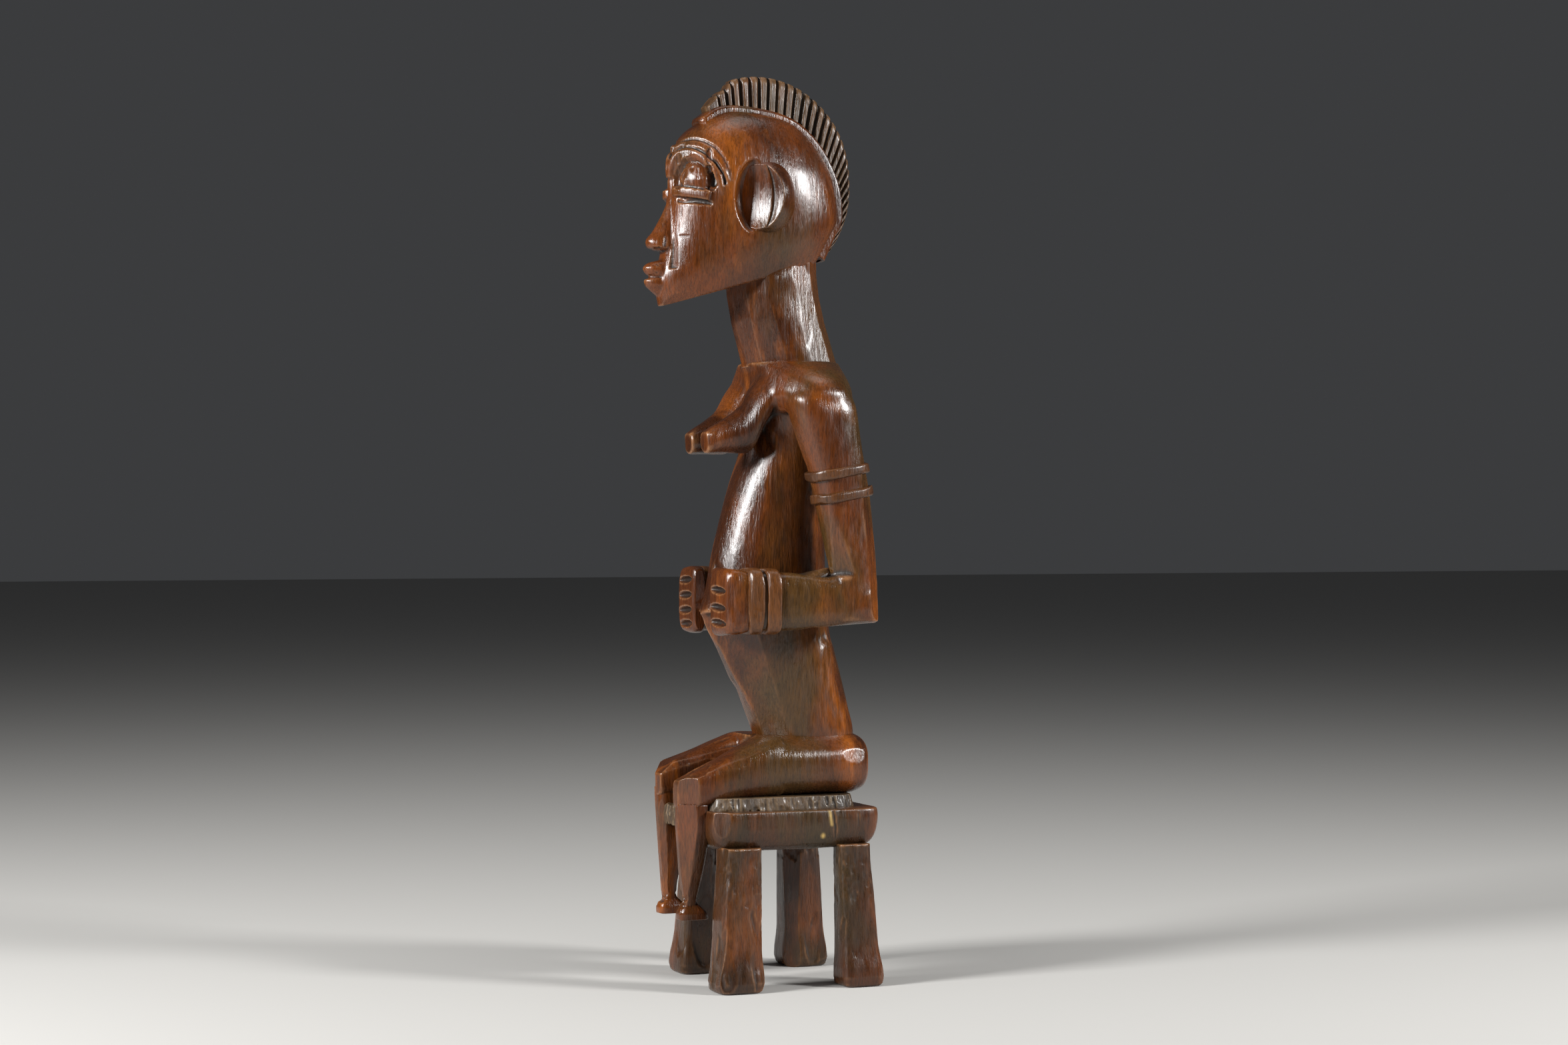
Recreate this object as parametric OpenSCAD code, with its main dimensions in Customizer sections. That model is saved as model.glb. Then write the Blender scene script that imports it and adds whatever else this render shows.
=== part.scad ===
// Seated ancestor figure on a four-legged stool, carved from one block of wood.
// Millimetres. The figure faces -Y, its left side is +X, the stool stands on Z = 0.
// Every element is a closed solid that meets its neighbours along a carved crease.

/* [Stool] */
// Height of the legs, floor to the underside of the seat
leg_h = 90; // [70:1:110]
// Width of a leg at the floor
leg_w = 29; // [24:1:34]
// Width that a leg loses towards its top
leg_taper = 5; // [0:1:8]
// How far a leg's foot stands outside its top
leg_splay = 4; // [0:1:7]
// Width of the seat
seat_w = 112; // [104:1:124]
// Depth of the seat
seat_d = 117; // [108:1:122]
// Thickness of the seat
seat_t = 26; // [20:1:34]
// Height of the rough block between the thighs and the seat
block_h = 7; // [4:0.5:12]

/* [Figure] */
// Height of the hips above the seat block
hips_h = 40; // [34:1:48]
// Height of the trunk, hips to the foot of the shoulders
torso_h = 222; // [190:1:250]
// Height of the shoulder yoke
shoulder_h = 25; // [20:1:32]
// Height of the neck at its middle
neck_h = 59; // [45:1:75]
// Distance between the centres of the two lower legs
shin_span = 46; // [40:1:52]
// Length of the left lower leg, knee to ankle
shin_l = 64; // [56:1:72]
// How much higher the right knee stands than the left one
knee_lift = 8; // [0:1:10]
// Distance between the centres of the two upper arms at the shoulder
arm_span = 108; // [104:1:112]

/* [Hair and ears] */
// Thickness of the crest, side to side
crest_w = 16; // [12:1:20]
// Width of the raised band at the foot of the crest
band_w = 23; // [20:1:28]
// Height of the raised band above the skull
band_h = 3; // [2:0.5:5]
// Number of comb-like cuts along each side of the crest
crest_cuts = 27; // [12:1:32]
// Width of one comb-like cut
cut_w = 1.6; // [0.8:0.2:2.4]
// How far an ear stands out from the head
ear_out = 12; // [8:1:16]

/* [Rings on the arms] */
// How far the rings stand out from the arm
ring_out = 2.5; // [1.5:0.5:4]
// Height of one armlet
armlet_h = 7; // [5:1:9]
// Width of one bracelet
bracelet_w = 9; // [6:1:10]

/* [Hidden] */

sides = 20;
left = 0;
right = 1;
// The box of the whole figure is centred on X = Y = 0; the stool stands this far behind that centre.
stool_y = 18.5;
seat_z = leg_h + seat_t;
block_z = seat_z + block_h;
hips_z = block_z + hips_h;
shoulder_z = hips_z + torso_h;
neck_z = shoulder_z + shoulder_h;
// The head rests on the neck on a sloping plane that rises to the back.
jaw_slope = 0.29;
head_z = neck_z + neck_h;
elbow_top = hips_z + 105;
ankle_z = seat_z + 1 - shin_l;
crest_c = [-12, 66];
crest_r = 65;

dark = "#4a2412";
mid = "#6b3418";
red = "#80401c";
ochre = "#8a5a2c";

// ---- lofting ----

// One ring of a loft: centre c, half-widths a and b along the directions u and v.
// p is 2 for an ellipse and more for a squarer ring; egg narrows the -v end.
function ring(c, u, v, a, b, p = 2, egg = 0) = [
    for (i = [0 : sides - 1])
        let (t = 360 * i / sides, ct = cos(t), st = sin(t))
        c + u * a * (1 + egg * st) * sign(ct) * pow(abs(ct), 2 / p) + v * b * sign(st) * pow(abs(st), 2 / p)];

// A level ring, or one that rises towards the back by slope.
function ring_z(x, y, z, a, b, p = 2, slope = 0, egg = 0) =
    ring([x, y, z], [1, 0, 0], [0, 1, slope], a, b, p, egg);

// An upright ring that faces the front.
function ring_y(x, y, z, a, c, p = 2) = ring([x, y, z], [1, 0, 0], [0, 0, 1], a, c, p);

// No point of a ring lies above top, or in front of front.
function cut_top(points, top) = [for (q = points) [q.x, q.y, min(q.z, top)]];
function cut_front(points, front) = [for (q = points) [q.x, max(q.y, front), q.z]];

// Skin over a stack of rings, closed at both ends. turn is true where the rings run downwards.
module loft(rings, turn = false) {
    n = len(rings[0]);
    last = (len(rings) - 1) * n;
    walls = [
        for (k = [0 : len(rings) - 2])
            for (i = [0 : n - 1])
                let (j = (i + 1) % n)
                each [[k * n + i, (k + 1) * n + i, (k + 1) * n + j], [k * n + i, (k + 1) * n + j, k * n + j]]];
    ends = [[for (i = [0 : n - 1]) i], [for (i = [n - 1 : -1 : 0]) last + i]];
    faces = concat(walls, ends);
    polyhedron(
        points = [for (r = rings) each r],
        faces = turn ? [for (f = faces) [for (i = [len(f) - 1 : -1 : 0]) f[i]]] : faces);
}

// A closed band around an arm: rings run up the outside and back down the inside.
module band(rings) {
    n = len(rings[0]);
    m = len(rings);
    faces = [
        for (k = [0 : m - 1])
            for (i = [0 : n - 1])
                let (j = (i + 1) % n, up = (k + 1) % m)
                each [[k * n + i, up * n + i, up * n + j], [k * n + i, up * n + j, k * n + j]]];
    polyhedron(points = [for (r = rings) each r], faces = faces);
}

// Puts a shape of the left side on either side, and the whole figure over the middle of its box.
module on_side(which) {
    translate([0, stool_y, 0]) mirror([which, 0, 0]) children();
}

module centred() {
    translate([0, stool_y, 0]) children();
}

// ---- stool ----

// A leg whose foot is centred on x, y. The legs were cut by eye, so no two stand quite alike.
module stool_leg(x, y, extra = 0) {
    w = (leg_w + extra) / 2;
    loss = leg_taper / 2;
    function leg_ring(t) = ring_z(
        x - sign(x) * leg_splay * t, y - sign(y) * leg_splay * t, leg_h * t, w - loss * t, w - loss * t, 4);
    color(mid)
        centred()
            loft([leg_ring(0), leg_ring(0.4), leg_ring(1)]);
}

module stool_leg_front_left() { stool_leg(50, -46.5, 1); }
module stool_leg_front_right() { stool_leg(-43, -39); }
module stool_leg_back_left() { stool_leg(52, 39, -1.5); }
module stool_leg_back_right() { stool_leg(-47, 40); }

module stool_seat() {
    w = seat_w / 2;
    d = seat_d / 2;
    y = -2.5;
    color(red)
        centred()
            loft([
                ring_z(0, y, leg_h, w - 5, d - 3, 6),
                ring_z(0, y, leg_h + 5, w - 1.5, d - 1.5, 6),
                ring_z(0, y, leg_h + seat_t * 0.5, w, d, 6),
                ring_z(0, y, seat_z - 4, w - 0.5, d - 0.5, 7),
                ring_z(0, y, seat_z, w - 2.5, d - 2.5, 7)]);
}

module seat_block() {
    color(ochre)
        centred()
            loft([
                ring_z(0, -7, seat_z, 44, 52.5, 7),
                ring_z(0, -7, block_z, 42, 50.5, 7)]);
}

// ---- hips and legs ----

module hips() {
    mid_z = block_z + hips_h / 2;
    c = hips_h / 2 + 1;
    // Stations run from the back to the front: y, half-width, share of the half-height.
    stations = [[58, 19, 0.38], [56.5, 29, 0.72], [51.5, 38.5, 0.93], [40, 42, 1], [20, 43, 1], [-16, 42, 1]];
    color(mid)
        centred()
            loft([for (s = stations)
                [for (q = ring_y(0, s[0], mid_z + (1 - s[2]) * 4, s[1], c * s[2], 3))
                    [q.x, q.y, max(min(q.z, hips_z), block_z)]]]);
}

// lift raises the knee: the right knee stands higher than the left one.
module thigh(which, lift) {
    x = shin_span / 2;
    z = block_z + hips_h / 2;
    // Stations run from the hips to the knee: y, x, z, half-width, half-height, share of the lift.
    stations = [
        [-16, x - 1.5, 0, 20.5, 20, 0], [-30, x - 0.5, -3, 18.5, 17.5, 0.2], [-48, x, -8.5, 15.5, 14.5, 0.5],
        [-62, x, -13, 13, 12, 0.85], [-71, x, -15.5, 12, 10, 1], [-75.5, x, -17, 9, 7, 1]];
    color(mid)
        on_side(which)
            loft([for (s = stations)
                [for (q = ring_y(s[1], s[0], z + s[2] + s[5] * lift, s[3], s[4], 2.8))
                    [q.x, q.y, max(q.z, seat_z + 1 + s[5] * lift)]]]);
}

module left_thigh() { thigh(left, 0); }
module right_thigh() { thigh(right, knee_lift); }

module shin(which, lift) {
    x = shin_span / 2;
    top = seat_z + 1 + lift;
    l = top - ankle_z;
    // Stations run down from the knee: share of the length, x, y, half-width, half-depth.
    stations = [
        [0, x, -66, 11, 9.5], [0.15, x, -66, 11, 9.5], [0.4, x - 1, -66, 9.5, 8.5],
        [0.7, x - 2.5, -66.5, 7, 6.5], [0.92, x - 3.5, -67, 5, 4.5], [1, x - 4, -67, 5.5, 5]];
    color(mid)
        on_side(which)
            loft([for (s = stations) ring_z(s[1], s[2], top - s[0] * l, s[3], s[4], 3)], true);
}

module left_shin() { shin(left, 0); }
module right_shin() { shin(right, knee_lift); }

module foot(which) {
    x = shin_span / 2 - 4;
    color(dark)
        on_side(which)
            loft([
                ring_z(x, -65.5, ankle_z, 5.5, 7, 3),
                ring_z(x, -64.5, ankle_z - 5, 7, 10, 3),
                ring_z(x, -64.5, ankle_z - 9, 6.5, 10.5, 3)], true);
}

module left_foot() { foot(left); }
module right_foot() { foot(right); }

module calf_bridge() {
    x = shin_span / 2;
    color(ochre)
        centred()
            difference() {
                translate([-x, -73, seat_z - 12]) cube([2 * x, 7, 14]);
                for (which = [left, right])
                    mirror([which, 0, 0])
                        translate([x - 10.5, -80, seat_z - 20]) cube([30, 20, 40]);
            }
}

// ---- trunk ----

// Front of the chest under the breasts.
chest_y = -20;

module torso_shape() {
    // Stations run up the trunk: share of its height, front y, back y, half-width.
    stations = [
        [0, -12, 55, 28], [0.08, -19, 51, 28.5], [0.17, -29.5, 46, 29], [0.26, -39.5, 40.5, 30],
        [0.33, -49, 38, 30.5], [0.36, -52, 37.5, 30.5], [0.41, -48, 37, 30.5], [0.53, -42.5, 35.5, 30],
        [0.62, -37.5, 35, 30], [0.75, -29, 34, 31], [0.83, -24, 34, 32], [0.85, -20, 34.5, 32.5],
        [1, -20, 37, 36]];
    loft([for (s = stations)
        ring_z(0, (s[1] + s[2]) / 2, hips_z + s[0] * torso_h, s[3], (s[2] - s[1]) / 2, 2.3)]);
}

module torso() {
    color(red)
        centred()
            torso_shape();
}

module shoulders() {
    color(red)
        centred()
            loft([
                cut_front(ring_z(0, 12, shoulder_z, 72, 31, 2.6), chest_y),
                cut_front(ring_z(0, 11.5, shoulder_z + shoulder_h * 0.4, 68, 29, 2.6), chest_y),
                cut_front(ring_z(0, 11, shoulder_z + shoulder_h * 0.72, 57, 29, 2.4), chest_y),
                ring_z(0, 11, neck_z, 38, 32, 2.2)]);
}

module breast(which) {
    z = shoulder_z;
    // Stations run from the chest to the tip: y, x, z, half-width, half-height.
    stations = [
        [chest_y, 20, -11.5, 19, 24], [-24.5, 19.5, -16, 17.5, 19.5], [-31, 18.5, -21, 15, 15],
        [-40, 17, -24, 12, 12], [-48, 16, -26.5, 9.5, 9.5], [-54, 15, -28, 8, 8], [-56, 15, -28, 6, 6]];
    color(red)
        on_side(which)
            loft([for (s = stations) ring_y(s[1], s[0], z + s[2], s[3], s[4], 2.2)]);
}

module left_breast() { breast(left); }
module right_breast() { breast(right); }

// ---- arms ----

arm_l = shoulder_z - elbow_top;
armlet_gap = 15;
armlet_top = shoulder_z - 45;
armlet_slope = 0.18;

// Upper arm as a function of the depth d below the shoulder: centre and half-widths.
function arm_x(d) = lookup(d, [[0, arm_span / 2], [40, arm_span / 2 + 2], [arm_l, arm_span / 2 + 4]]);
function arm_y(d) = lookup(d, [[0, 11], [20, 15.5], [40, 20.5], [60, 25], [85, 29], [arm_l, 32]]);
function arm_a(d) = lookup(d, [[0, 18], [20, 17], [40, 16], [60, 15], [arm_l, 14]]);
function arm_b(d) = lookup(d, [[0, 23], [20, 20.5], [40, 18], [60, 17.5], [85, 16.5], [arm_l, 16]]);
function arm_ring(d, grow, slope) =
    ring_z(arm_x(d), arm_y(d), shoulder_z - d, arm_a(d) + grow, arm_b(d) + grow, 2.6, slope);

module upper_arm(which) {
    d1 = shoulder_z - armlet_top;
    d2 = d1 + armlet_gap;
    // Stations down the arm, with the slope of each ring: the edges of the armlets are stations too.
    stations = [
        [0, 0], [20, 0.12], [d1, armlet_slope], [d1 + armlet_h, armlet_slope], [d2, armlet_slope],
        [d2 + armlet_h, armlet_slope], [d2 + 28, 0.1], [arm_l, 0]];
    color(mid)
        on_side(which)
            loft([for (s = stations) arm_ring(s[0], 0, s[1])], true);
}

module armlet(which, d) {
    low = d + armlet_h;
    color(ochre)
        on_side(which)
            band([
                arm_ring(low, 0, armlet_slope), arm_ring(low - 1, ring_out, armlet_slope),
                arm_ring(d + 1, ring_out, armlet_slope), arm_ring(d, 0, armlet_slope)]);
}

module left_upper_arm() { upper_arm(left); }
module right_upper_arm() { upper_arm(right); }
module left_armlet_upper() { armlet(left, shoulder_z - armlet_top); }
module right_armlet_upper() { armlet(right, shoulder_z - armlet_top); }
module left_armlet_lower() { armlet(left, shoulder_z - armlet_top + armlet_gap); }
module right_armlet_lower() { armlet(right, shoulder_z - armlet_top + armlet_gap); }

// Forearm as a function of y: it runs forward and inward from the elbow to the wrist.
wrist_y = -39.5;
function fore_x(y) = lookup(y, [[wrist_y, arm_span / 2 - 11], [-9, arm_span / 2 - 4], [14, arm_span / 2 + 1],
    [30, arm_span / 2 + 4], [48, arm_span / 2 + 5]]);
function fore_a(y) = lookup(y, [[wrist_y, 10.5], [-9, 12.5], [14, 14], [30, 14.5], [48, 14.5]]);
function fore_low(y) = elbow_top - lookup(y, [[wrist_y, 35], [-9, 35], [14, 33], [30, 31], [48, 30]]);
function fore_top(y) = elbow_top + lookup(y, [[wrist_y, 4], [-9, 3], [14, 0], [30, 0], [48, 0]]);
function fore_ring(y, grow) =
    ring_y(fore_x(y), y, (fore_low(y) + fore_top(y)) / 2, fore_a(y) + grow,
        (fore_top(y) - fore_low(y)) / 2 + grow, 3.4);

bracelet_rear_y = -18;
bracelet_front_y = -29;

module forearm(which) {
    stations = [
        47.5, 46, 30, 14, -9, bracelet_rear_y, bracelet_rear_y - bracelet_w, bracelet_front_y,
        bracelet_front_y - bracelet_w, wrist_y];
    color(mid)
        on_side(which)
            loft([for (y = stations) cut_top(fore_ring(y, y > 47 ? -2 : 0), y > 10 ? elbow_top : elbow_top + 9)]);
}

module bracelet(which, y) {
    front = y - bracelet_w;
    color(ochre)
        on_side(which)
            band([
                fore_ring(y, 0), fore_ring(y - 1, ring_out), fore_ring(front + 1, ring_out), fore_ring(front, 0)]);
}

module left_forearm() { forearm(left); }
module right_forearm() { forearm(right); }
module left_bracelet_rear() { bracelet(left, bracelet_rear_y); }
module right_bracelet_rear() { bracelet(right, bracelet_rear_y); }
module left_bracelet_front() { bracelet(left, bracelet_front_y); }
module right_bracelet_front() { bracelet(right, bracelet_front_y); }

module hand(which) {
    z = elbow_top - 16;
    x = fore_x(wrist_y);
    // Stations run from the wrist round to the finger tips: x, y, direction of travel, half-thickness, half-height.
    stations = [
        [x, wrist_y, 270, 10.5, 19.5], [x - 0.5, -43, 268, 10, 21], [x - 4.5, -47, 238, 8, 21.5],
        [x - 11, -48, 200, 6, 22], [x - 18, -48, 184, 5.5, 22.5], [x - 29, -48, 180, 4.5, 20.5]];
    color(red)
        on_side(which)
            difference() {
                loft([for (s = stations)
                    ring([s[0], s[1], z], [-sin(s[2]), cos(s[2]), 0], [0, 0, 1], s[3], s[4], 3)]);
                torso_shape();
            }
}

module left_hand() { hand(left); }
module right_hand() { hand(right); }

// ---- neck and head ----

module neck() {
    // Stations run up the neck: share of its height, y, radius, slope.
    stations = [[0, 11, 32, 0], [0.2, 7.5, 31.5, 0], [0.45, 3, 31, 0.05], [0.75, -0.5, 30, 0.16]];
    color(mid)
        centred()
            loft(concat(
                [for (s = stations) ring_z(0, s[1], neck_z + s[0] * neck_h, s[2] - 1, s[2], 2.2, s[3])],
                [ring_z(0, -2, head_z - 2 * jaw_slope, 29.5, 30.5, 2.2, jaw_slope)]));
}

// Stations run up the head: height above the jaw plane's middle, front y, back y, half-width, slope, egg.
head_stations = [
    [-7.8, -82, 28, 25, jaw_slope, 0.35], [4, -87, 32, 30, 0.2, 0.3], [18, -84, 37, 34, 0.12, 0.22],
    [36, -79, 43.5, 36.5, 0.04, 0.1], [52, -76, 43, 37.5, 0, 0.02], [75, -72.5, 35, 35.5, 0, 0],
    [91, -63.5, 23, 30, 0, 0], [101, -50, 9, 23, 0, 0], [106, -42, -10, 13, 0, 0]];

module head_shape() {
    loft([for (s = head_stations)
        ring_z(0, (s[1] + s[2]) / 2, head_z + s[0], s[3], (s[2] - s[1]) / 2, 2.3, s[4], s[5])]);
}

module head() {
    color(mid)
        centred()
            head_shape();
}

module nose() {
    color(red)
        centred()
            difference() {
                loft([
                    ring_z(0, -78, head_z + 16, 6, 10, 2.5),
                    ring_z(0, -79, head_z + 19, 6.5, 12.5, 2.5),
                    ring_z(0, -78, head_z + 29, 4.5, 8.5, 2.5),
                    ring_z(0, -76, head_z + 43, 3, 3, 2.5)]);
                head_shape();
            }
}

module mouth() {
    color(red)
        centred()
            difference() {
                loft([
                    ring_z(0, -82, head_z - 10, 5.5, 7, 2.5),
                    ring_z(0, -82, head_z - 5, 8, 11, 2.5),
                    ring_z(0, -82, head_z + 2, 7.5, 11, 2.5),
                    ring_z(0, -80, head_z + 7, 4.5, 7, 2.5)]);
                head_shape();
            }
}

// An ear is a mound on the side of the head, scooped out on its front.
ear_y = -18;
ear_z = head_z + 48;
function ear_ring(x, y, a, c, lean) = ring([x, y, ear_z], [lean, 1, 0], [0, 0, 1], a, c, 2.2);

module ear(which) {
    x = 35;
    color(ochre)
        on_side(which)
            difference() {
                loft([
                    ear_ring(x - 4, ear_y, 21.5, 26, 0), ear_ring(x + 2, ear_y - 0.5, 20.5, 25.5, 0.05),
                    ear_ring(x + ear_out * 0.6, ear_y - 5, 14.5, 24, 0.42),
                    ear_ring(x + ear_out * 0.6, ear_y - 5.5, 12, 21.5, 0.42),
                    ear_ring(x + 2.5, ear_y - 7, 9.5, 18, 0.1)]);
                head_shape();
            }
}

module left_ear() { ear(left); }
module right_ear() { ear(right); }

// ---- hair ----

// Outline of the skull from its front, over the top and down its back, as [y, z] above the jaw.
function skull_front(s) = [s[1], s[0]];
function skull_back(s) = [s[2], s[0] + s[4] * (s[2] - s[1]) / 2];
top_station = len(head_stations) - 1;
skull_line = concat(
    [for (k = [7 : top_station]) skull_front(head_stations[k])],
    [for (k = [top_station : -1 : 1]) skull_back(head_stations[k])]);

// The same outline, moved outward by a distance from a point inside the skull.
function outward(q, c, d) = q + (q - c) / norm(q - c) * d;
skull_c = [-22, 50];
band_line = [for (q = skull_line) outward(q, skull_c, band_h)];

// Outer edge of the crest: a slope up from the brow, then a circle that swells a little down the back.
crest_from = 108;
crest_to = -48;
crest_steps = 24;
function crest_point(t, d) = crest_c + (crest_r + max(0, -t) / 8 + d) * [cos(t), sin(t)];
crest_brow = [[-47.5, 111], [-40, 119.5]];
crest_arc = concat(crest_brow, [
    for (k = [0 : crest_steps]) crest_point(crest_from + (crest_to - crest_from) * k / crest_steps, 0)]);

// Draws a [y, z] outline of the middle plane and gives it a thickness along X.
module upright(w) {
    translate([-w / 2, 0, head_z])
        rotate([90, 0, 90])
            linear_extrude(w) children();
}

module hairline_band() {
    inner = [for (q = skull_line) outward(q, skull_c, -5)];
    color(ochre)
        centred()
            difference() {
                upright(band_w) polygon(concat(band_line, [for (k = [len(inner) - 1 : -1 : 0]) inner[k]]));
                head_shape();
            }
}

// One comb-like cut lies across the outer edge, steep at the front and slanting down the back.
module crest_cut(t) {
    foot = crest_point(t, -26);
    lean = t > 60 ? 90 + (t - 90) * 0.3 : 81 - (60 - t) * 0.35;
    translate([0, foot.x, head_z + foot.y])
        rotate([lean - 90, 0, 0])
            translate([0, -cut_w / 2, 6]) cube([crest_w, cut_w, 34]);
}

module hair_crest() {
    depth = 2.2;
    color(dark)
        centred()
            difference() {
                upright(crest_w)
                    polygon(concat(crest_arc, [for (k = [len(band_line) - 1 : -1 : 0]) band_line[k]]));
                for (k = [1 : crest_cuts])
                    for (which = [left, right])
                        mirror([which, 0, 0])
                            translate([crest_w / 2 - depth, 0, 0])
                                crest_cut(crest_from + 8 + (crest_to - crest_from) * k / crest_cuts);
            }
}

stool_leg_front_left();
stool_leg_front_right();
stool_leg_back_left();
stool_leg_back_right();
stool_seat();
seat_block();
hips();
left_thigh();
right_thigh();
left_shin();
right_shin();
left_foot();
right_foot();
calf_bridge();
torso();
shoulders();
left_breast();
right_breast();
left_upper_arm();
right_upper_arm();
left_armlet_upper();
right_armlet_upper();
left_armlet_lower();
right_armlet_lower();
left_forearm();
right_forearm();
left_bracelet_rear();
right_bracelet_rear();
left_bracelet_front();
right_bracelet_front();
left_hand();
right_hand();
neck();
head();
nose();
mouth();
left_ear();
right_ear();
hairline_band();
hair_crest();
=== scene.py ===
import math

import bmesh
import bpy
import numpy as np
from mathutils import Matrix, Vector


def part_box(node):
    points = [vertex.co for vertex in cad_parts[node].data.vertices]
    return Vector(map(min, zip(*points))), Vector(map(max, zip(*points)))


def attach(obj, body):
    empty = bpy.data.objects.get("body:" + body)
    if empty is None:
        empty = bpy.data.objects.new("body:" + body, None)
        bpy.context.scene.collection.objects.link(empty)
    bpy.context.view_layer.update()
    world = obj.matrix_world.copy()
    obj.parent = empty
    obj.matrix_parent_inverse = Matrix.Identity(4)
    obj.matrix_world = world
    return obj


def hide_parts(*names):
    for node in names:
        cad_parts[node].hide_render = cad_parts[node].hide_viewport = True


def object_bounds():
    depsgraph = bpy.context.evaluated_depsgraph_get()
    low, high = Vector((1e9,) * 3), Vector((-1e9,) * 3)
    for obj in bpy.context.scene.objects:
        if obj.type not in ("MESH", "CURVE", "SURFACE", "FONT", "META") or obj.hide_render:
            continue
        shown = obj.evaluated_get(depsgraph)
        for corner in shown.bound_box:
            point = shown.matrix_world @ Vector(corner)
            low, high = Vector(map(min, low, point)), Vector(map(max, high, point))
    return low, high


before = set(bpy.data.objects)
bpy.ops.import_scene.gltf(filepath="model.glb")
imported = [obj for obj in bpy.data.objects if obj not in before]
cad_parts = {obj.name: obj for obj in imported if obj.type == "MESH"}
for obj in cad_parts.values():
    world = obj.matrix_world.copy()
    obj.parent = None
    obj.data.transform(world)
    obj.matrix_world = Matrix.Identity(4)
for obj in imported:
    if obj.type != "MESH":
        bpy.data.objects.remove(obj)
cad_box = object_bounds()

# ---- the four legs of the stool ----
# The whole carving is one block of dense red-brown wood. The legs are squared posts, hewn with a flat
# blade and splayed by eye, so that no two are alike. Their feet are chamfered where they were sawn off.

mm = 0.001
far = 999   # further than any point of the carving, in millimetres
seat_low, seat_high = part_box("stool_seat")
axis_y = (seat_low.y + seat_high.y) / 2 + 2.5 * mm   # the trunk's own axis, front to back


def ring(c, u, v, a, b, p=2.4, egg=0.0, sides=72):
    # A closed outline round c, a by b along u and v: an ellipse at p = 2, and squarer as p grows.
    t = np.arange(sides) * 2 * np.pi / sides
    cu = np.sign(np.cos(t)) * np.abs(np.cos(t)) ** (2 / p) * a * (1 + egg * np.sin(t))
    sv = np.sign(np.sin(t)) * np.abs(np.sin(t)) ** (2 / p) * b
    return np.array(c, float) + cu[:, None] * np.array(u, float) + sv[:, None] * np.array(v, float)


def level(x, y, z, a, b, p=2.4, slope=0.0, egg=0.0):
    return ring((x, y, z), (1, 0, 0), (0, 1, slope), a, b, p, egg)


def upright(x, y, z, a, c, p=2.4):
    return ring((x, y, z), (1, 0, 0), (0, 0, 1), a, c, p)


def flowing(rings, steps=6):
    # More rings between the given ones, on a smooth line through them.
    r = np.array(rings)
    gap = np.maximum(np.abs(r[1:] - r[:-1]).mean((1, 2)), 1e-6)[:, None, None]
    slope = (r[1:] - r[:-1]) / gap
    between_two = (slope[1:] * gap[:-1] + slope[:-1] * gap[1:]) / (gap[1:] + gap[:-1])
    lean = np.concatenate([slope[:1], between_two, slope[-1:]])
    out = []
    for i in range(len(r) - 1):
        for s in range(steps):
            t = s / steps
            out.append((2 * t**3 - 3 * t**2 + 1) * r[i] + (t**3 - 2 * t**2 + t) * gap[i] * lean[i]
                       + (3 * t**2 - 2 * t**3) * r[i + 1] + (t**3 - t**2) * gap[i] * lean[i + 1])
    return out + [r[-1]]


def skin(bm, rings, side=1):
    # Bridges a stack of rings, in millimetres on the trunk's axis, and closes both ends.
    loops = []
    for k, points in enumerate(rings):
        at_end = k in (0, len(rings) - 1)
        made = bmesh.ops.create_circle(bm, cap_ends=at_end, segments=len(points), radius=1)["verts"]
        for v, q in zip(made, points):
            v.co = (q[0] * side * mm, q[1] * mm + axis_y, q[2] * mm)
        loops.append(list({e for v in made for e in v.link_edges}))
    for low, high in zip(loops, loops[1:]):
        bmesh.ops.bridge_loops(bm, edges=low + high)


def rod(path, radii, p=2.2):
    # Rings square to a path, for a ridge or a lid.
    path = np.array(path, float)
    out = []
    for i, q in enumerate(path):
        d = path[min(i + 1, len(path) - 1)] - path[max(i - 1, 0)]
        d /= np.linalg.norm(d)
        side = np.cross(d, (0, 0, 1))
        if np.linalg.norm(side) < 0.05:
            side = np.cross(d, (1, 0, 0))
        side /= np.linalg.norm(side)
        out.append(ring(q, side, np.cross(side, d), radii[i], radii[i], p, sides=20))
    return out


def block_of(name, bm, grain=1.0):
    # Welds the lofted forms into one closed skin of even facets, ready for the knife.
    bmesh.ops.recalc_face_normals(bm, faces=bm.faces)
    mesh = bpy.data.meshes.new(name)
    bm.to_mesh(mesh)
    bm.free()
    piece = bpy.data.objects.new(name, mesh)
    bpy.context.scene.collection.objects.link(piece)
    weld = piece.modifiers.new("weld", "REMESH")
    weld.mode = "VOXEL"
    weld.voxel_size = grain * mm
    welded = bpy.data.meshes.new_from_object(piece.evaluated_get(bpy.context.evaluated_depsgraph_get()))
    piece.modifiers.clear()
    piece.data = welded
    bpy.data.meshes.remove(mesh)
    eased(piece)
    return piece


def points_of(piece):
    co = np.zeros(len(piece.data.vertices) * 3)
    piece.data.vertices.foreach_get("co", co)
    co = co.reshape(-1, 3) / mm
    co[:, 1] -= axis_y / mm
    return co


def set_points(piece, co):
    out = co.copy()
    out[:, 1] += axis_y / mm
    piece.data.vertices.foreach_set("co", (out * mm).ravel())
    piece.data.update()


def normals_of(piece):
    no = np.zeros(len(piece.data.vertices) * 3)
    piece.data.vertices.foreach_get("normal", no)
    return no.reshape(-1, 3)


def edges_of(piece):
    e = np.zeros(len(piece.data.edges) * 2, int)
    piece.data.edges.foreach_get("vertices", e)
    return e.reshape(-1, 2)


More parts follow.
